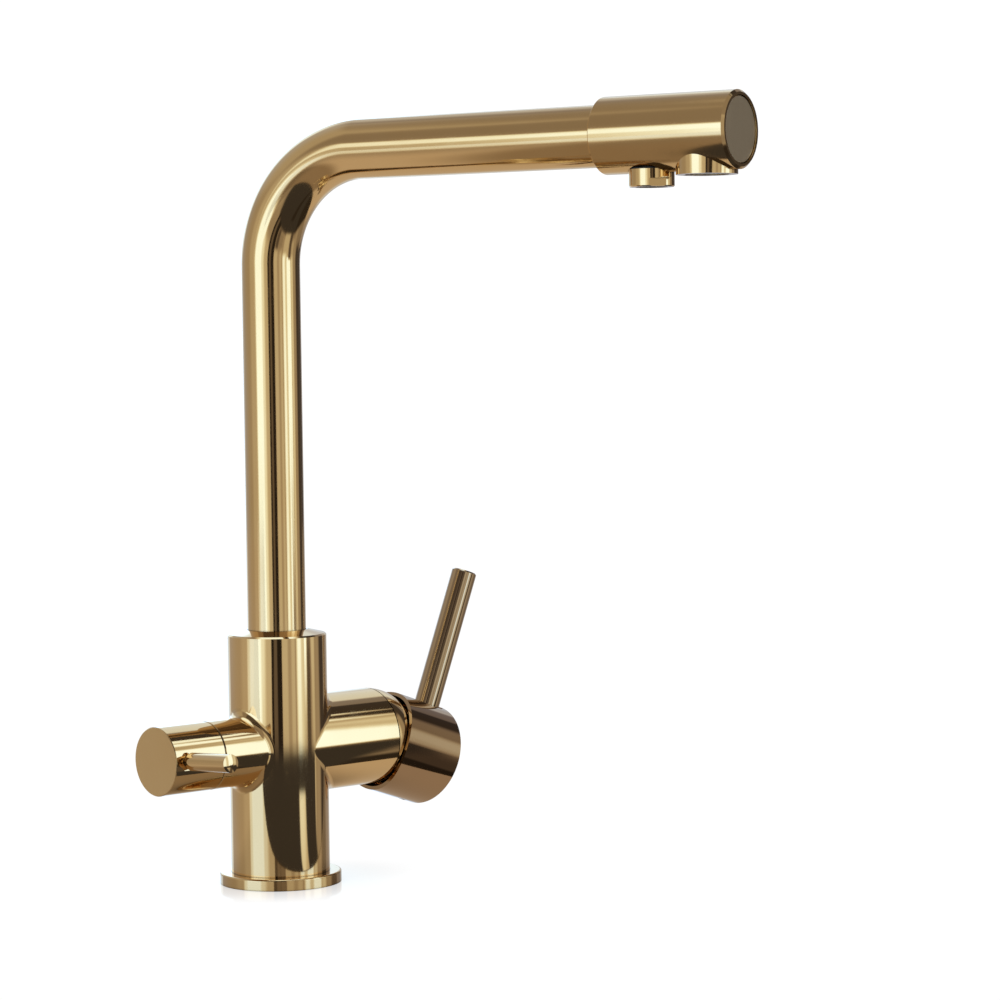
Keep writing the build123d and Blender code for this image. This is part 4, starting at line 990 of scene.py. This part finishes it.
# How flat a view makes it a mirror, and the grain of all mirror images in the ground.
TABLE_FLAT_LIMITS = (0.38, 0.76)
GROUND_GRAIN_SCALE = 300.0
GROUND_ROUGHNESS = (0.07, 0.12)
# The table's front edge: its Y at the upright, how far it goes back for each metre along X, and the
# dark line along it.
TABLE_EDGE = -0.063
EDGE_SLOPE = 0.07
EDGE_LINE = 0.002
EDGE_TONE = (0.06, 0.04, 0.02, 1.0)
# A dark patch of ground in front of the table, and the gap in it where a bright strip stands:
# bearings and their softness in degrees, then the reach and its softness in metres.
DARK_PATCH = ((-60.0, 88.0, 3.0), (0.47, 0.04))
GAP = ((45.0, 61.0, 2.0), (0.30, 0.02))
DARK_PATCH_TONE = (0.045, 0.042, 0.042, 1.0)

# The width of the camera's sensor in millimetres, and the nearest it sees in metres.
SENSOR_WIDTH = 36.0
NEAREST = 0.01


def make_card_group():
    """A soft-edged card in the studio, as a mask over azimuth and elevation."""
    labels = ("Azimuth", "Elevation", "Left", "Right", "Bottom", "Top", "Soft")
    tree, start, end = new_group("studio_card", "ShaderNodeTree", floats(*labels), floats("Mask"))
    given = start.outputs
    edges = []
    for value, low, high in (("Azimuth", "Left", "Right"), ("Elevation", "Bottom", "Top")):
        past_low = maths(tree, "SUBTRACT", given[value], given[low])
        before_high = maths(tree, "SUBTRACT", given[high], given[value])
        inside = maths(tree, "MINIMUM", past_low, before_high)
        scaled = maths(tree, "ADD", maths(tree, "DIVIDE", inside, given["Soft"]), 0.5)
        edges.append(ramp(tree, scaled, 0.0, 1.0))
    tree.links.new(times(tree, *edges), end.inputs["Mask"])


def is_seen(tree):
    """One where the camera itself looks, and nothing where the metal mirrors."""
    return tree.nodes.new("ShaderNodeLightPath").outputs["Is Camera Ray"]


def bearing_of(tree, way, azimuth):
    """Degrees around the tap of a direction or place, with the camera at 0 and right positive."""
    towards = (math.sin(azimuth), -math.cos(azimuth), 0.0)
    right = (math.cos(azimuth), math.sin(azimuth), 0.0)
    sides = []
    for axis in (right, towards):
        node = add_node(tree, "ShaderNodeVectorMath", {0: way, 1: axis}, operation="DOT_PRODUCT")
        sides.append(node.outputs["Value"])
    return maths(tree, "DEGREES", maths(tree, "ARCTAN2", *sides))


def tinted(tree, level, cool):
    """The colour of the studio at a brightness: brown where it is dim, white where it is bright,
    and bluer where it is cool."""
    square = times(tree, level, level)
    green = maths(tree, "MULTIPLY_ADD", level, 0.10, 0.82)
    green = maths(tree, "MULTIPLY_ADD", square, 0.25, green)
    cube = times(tree, square, level)
    blue = maths(tree, "MULTIPLY_ADD", cube, 0.55, 0.70)
    inputs = {
        "Red": 1.0,
        "Green": maths(tree, "MULTIPLY_ADD", cool, 0.12, green),
        "Blue": maths(tree, "MULTIPLY_ADD", cool, 0.40, blue),
    }
    return add_node(tree, "ShaderNodeCombineColor", inputs).outputs[0]


def make_studio_light(scene):
    """The soft room that the polished metal mirrors. The camera itself sees plain white."""
    scene.world = bpy.data.worlds.new("studio")
    tree = empty_tree(scene.world)
    way = tree.nodes.new("ShaderNodeTexCoord").outputs["Generated"]
    bearing = bearing_of(tree, way, scene.tap_studio.azimuth)
    elevation = maths(tree, "DEGREES", maths(tree, "ARCSINE", parts_of(tree, way)["Z"]))
    level = ramp(tree, elevation, *DARK_RISE, DARK_LEVEL, ROOM_LEVEL)
    make_card_group()
    for *edges, soft, bright in CARDS:
        place = dict(zip(("Left", "Right", "Bottom", "Top"), edges))
        place.update({"Azimuth": bearing, "Elevation": elevation, "Soft": soft})
        mask = place_group(tree, "studio_card", place)["Mask"]
        level = mix_values(tree, mask, level, bright)
    level = maths(tree, "MINIMUM", level, BRIGHTEST)
    behind = ramp(tree, maths(tree, "ABSOLUTE", bearing), *COOL_BEARINGS)
    above = ramp(tree, elevation, *COOL_FROM_BELOW)
    below = ramp(tree, elevation, *COOL_FROM_ABOVE)
    cool = times(tree, above, below, behind)
    seen = is_seen(tree)
    shown = mix_colours(tree, seen, tinted(tree, level, cool), WHITE)
    strength = mix_values(tree, seen, level, BACKDROP_LEVEL)
    background = add_node(tree, "ShaderNodeBackground", {"Color": shown, "Strength": strength})
    add_node(tree, "ShaderNodeOutputWorld", {"Surface": background.outputs[0]})


def make_floor(scene):
    """The pale floor, open under the foot."""
    size = scene.tap_studio
    form = bmesh.new()
    rings = []
    for radius in (size.floor_hole, *FLOOR_RINGS, size.floor_radius):
        ring = bmesh.ops.create_circle(form, segments=FLOOR_STEPS, radius=radius)["verts"]
        rings.append(ring)
    for inner, outer in zip(rings, rings[1:]):
        for step in range(FLOOR_STEPS):
            following = (step + 1) % FLOOR_STEPS
            form.faces.new((inner[step], outer[step], outer[following], inner[following]))
    bmesh.ops.recalc_face_normals(form, faces=form.faces)
    mesh = bpy.data.meshes.new("studio_floor")
    form.to_mesh(mesh)
    form.free()
    if mesh.polygons[0].normal.z < 0:
        mesh.flip_normals()
    floor = make_piece("studio_floor", mesh)
    floor.data.materials.append(make_floor_material(scene))


def seen_floor(tree, away, openness, grain):
    """What the camera sees: white, with a soft contact shade and a faint image at the foot."""
    white = glow(tree, ramp(tree, openness, *SHADE_LIMITS, *SHADE_LEVELS))
    polish = ramp(tree, away, *IMAGE_REACH, 0.0, IMAGE_SHARE)
    return mix_shaders(tree, polish, white, mirror(tree, grain, IMAGE_TONE))


def tan_table(tree, sides, openness, grain):
    """The table that the metal mirrors, glowing with painted light and painted shade. It is a
    mirror itself where it is seen at a flat angle.
    """
    behind = ramp(tree, sides["Y"], *TABLE_LIT_DEPTH)
    beside = ramp(tree, sides["X"], *TABLE_LIT_SIDE)
    lit = maths(tree, "MAXIMUM", behind, beside)
    tone = mix_colours(tree, lit, TABLE_TONE, TABLE_LIT_TONE)
    shaded = ramp(tree, openness, *TABLE_SHADE_LIMITS, *TABLE_SHADE_LEVELS)
    grazing = add_node(tree, "ShaderNodeLayerWeight", {"Blend": 0.5}).outputs["Facing"]
    flat = ramp(tree, grazing, *TABLE_FLAT_LIMITS, 0.0, TABLE_MIRROR_SHARE)
    image = mirror(tree, grain, TABLE_MIRROR_TONE)
    return mix_shaders(tree, flat, glow(tree, shaded, tone), image)


def patch(tree, bearing, away, bearings, reach):
    """A patch of ground around the tap, as a mask."""
    distance, soft = reach
    near = ramp(tree, away, distance + soft, distance - soft)
    return times(tree, between(tree, bearing, *bearings), near)


def open_room(tree, bearing, away):
    """What the metal mirrors past the table: the room, and a dark patch on its ground."""
    gap = patch(tree, bearing, away, *GAP)
    in_dark_patch = times(tree, patch(tree, bearing, away, *DARK_PATCH), maths(tree, "SUBTRACT", 1.0, gap))
    beyond = tree.nodes.new("ShaderNodeBsdfTransparent").outputs[0]
    return mix_shaders(tree, in_dark_patch, beyond, glow(tree, tone=DARK_PATCH_TONE))


def make_floor_material(scene):
    """The floor that the camera sees, and what the metal mirrors of the ground: the table up to its
    front edge, and past it the room."""
    material = bpy.data.materials.new("studio_floor")
    tree = empty_tree(material)
    place = tree.nodes.new("ShaderNodeTexCoord").outputs["Object"]
    sides = parts_of(tree, place)
    away = add_node(tree, "ShaderNodeVectorMath", {0: place}, operation="LENGTH").outputs["Value"]
    bearing = bearing_of(tree, place, scene.tap_studio.azimuth)
    openness = open_share(tree, SHADE_REACH)
    specks = noise(tree, place, GROUND_GRAIN_SCALE)
    grain = ramp(tree, specks, 0.0, 1.0, *GROUND_ROUGHNESS)
    back = times(tree, sides["X"], EDGE_SLOPE)
    depth = maths(tree, "SUBTRACT", sides["Y"], back)
    on_table = maths(tree, "GREATER_THAN", depth, TABLE_EDGE)
    past_line = maths(tree, "GREATER_THAN", depth, TABLE_EDGE + EDGE_LINE)
    table = tan_table(tree, sides, openness, grain)
    edged = mix_shaders(tree, past_line, glow(tree, tone=EDGE_TONE), table)
    mirrored = mix_shaders(tree, on_table, open_room(tree, bearing, away), edged)
    seen = seen_floor(tree, away, openness, grain)
    shown = mix_shaders(tree, is_seen(tree), mirrored, seen)
    add_node(tree, "ShaderNodeOutputMaterial", {"Surface": shown})
    return material


def turned(first, second, turn):
    """Two directions turned together, so that the first goes towards the second."""
    cosine, sine = math.cos(turn), math.sin(turn)
    return first * cosine + second * sine, second * cosine - first * sine


def place_camera(scene):
    """A camera at the photograph's viewing angle."""
    size = scene.tap_studio
    across = Vector((math.cos(size.azimuth), math.sin(size.azimuth), 0.0))
    ahead = Vector((-math.sin(size.azimuth), math.cos(size.azimuth), 0.0))
    up = Vector((0.0, 0.0, 1.0))
    place = -ahead * size.distance + up * size.height
    ahead, across = turned(ahead, across, size.yaw)
    ahead, up = turned(ahead, up, size.pitch)
    across, up = turned(across, up, size.roll)
    lens = bpy.data.cameras.new("studio_camera")
    lens.sensor_fit = "HORIZONTAL"
    lens.sensor_width = SENSOR_WIDTH
    lens.lens = SENSOR_WIDTH * size.focal
    lens.clip_start = NEAREST
    camera = bpy.data.objects.new("studio_camera", lens)
    scene.collection.objects.link(camera)
    turn = Matrix((across, up, -ahead)).transposed().to_4x4()
    camera.matrix_world = Matrix.Translation(place) @ turn
    scene.camera = camera


class TAP_OT_make_studio(bpy.types.Operator):
    """Sets up the floor, the soft light and the camera."""

    bl_idname = "tap.make_studio"
    bl_label = "Make studio"

    def execute(self, context):
        make_floor(context.scene)
        make_studio_light(context.scene)
        place_camera(context.scene)
        context.scene.view_settings.view_transform = "Standard"
        return {"FINISHED"}


OPERATORS = (
    TAP_OT_make_finishes,
    TAP_OT_make_spout_tube,
    TAP_OT_make_shank,
    TAP_OT_make_screens,
    TAP_OT_make_studio,
)


class TAP_PT_panel(bpy.types.Panel):
    """Lists the tap's settings and the steps that make it."""

    bl_idname = "TAP_PT_panel"
    bl_label = "Three way tap"
    bl_space_type = "VIEW_3D"
    bl_region_type = "UI"
    bl_category = "Tap"

    def draw(self, context):
        for group in SETTINGS:
            box = self.layout.box()
            settings = getattr(context.scene, group)
            for name in settings.bl_rna.properties.keys():
                if name not in {"rna_type", "name"}:
                    box.prop(settings, name)
        for operator in OPERATORS:
            self.layout.operator(operator.bl_idname)


def register():
    for group in SETTINGS.values():
        bpy.utils.register_class(group)
    for name, group in SETTINGS.items():
        setattr(bpy.types.Scene, name, bpy.props.PointerProperty(type=group))
    for kind in (*OPERATORS, TAP_PT_panel):
        bpy.utils.register_class(kind)


def unregister():
    for kind in reversed((*OPERATORS, TAP_PT_panel)):
        bpy.utils.unregister_class(kind)
    for name in SETTINGS:
        delattr(bpy.types.Scene, name)
    for group in reversed(list(SETTINGS.values())):
        bpy.utils.unregister_class(group)


def main():
    register()
    bpy.ops.tap.make_finishes()
    bpy.ops.tap.make_spout_tube()
    bpy.ops.tap.make_shank()
    bpy.ops.tap.make_screens()
    bpy.ops.tap.make_studio()


if __name__ == "__main__":
    main()
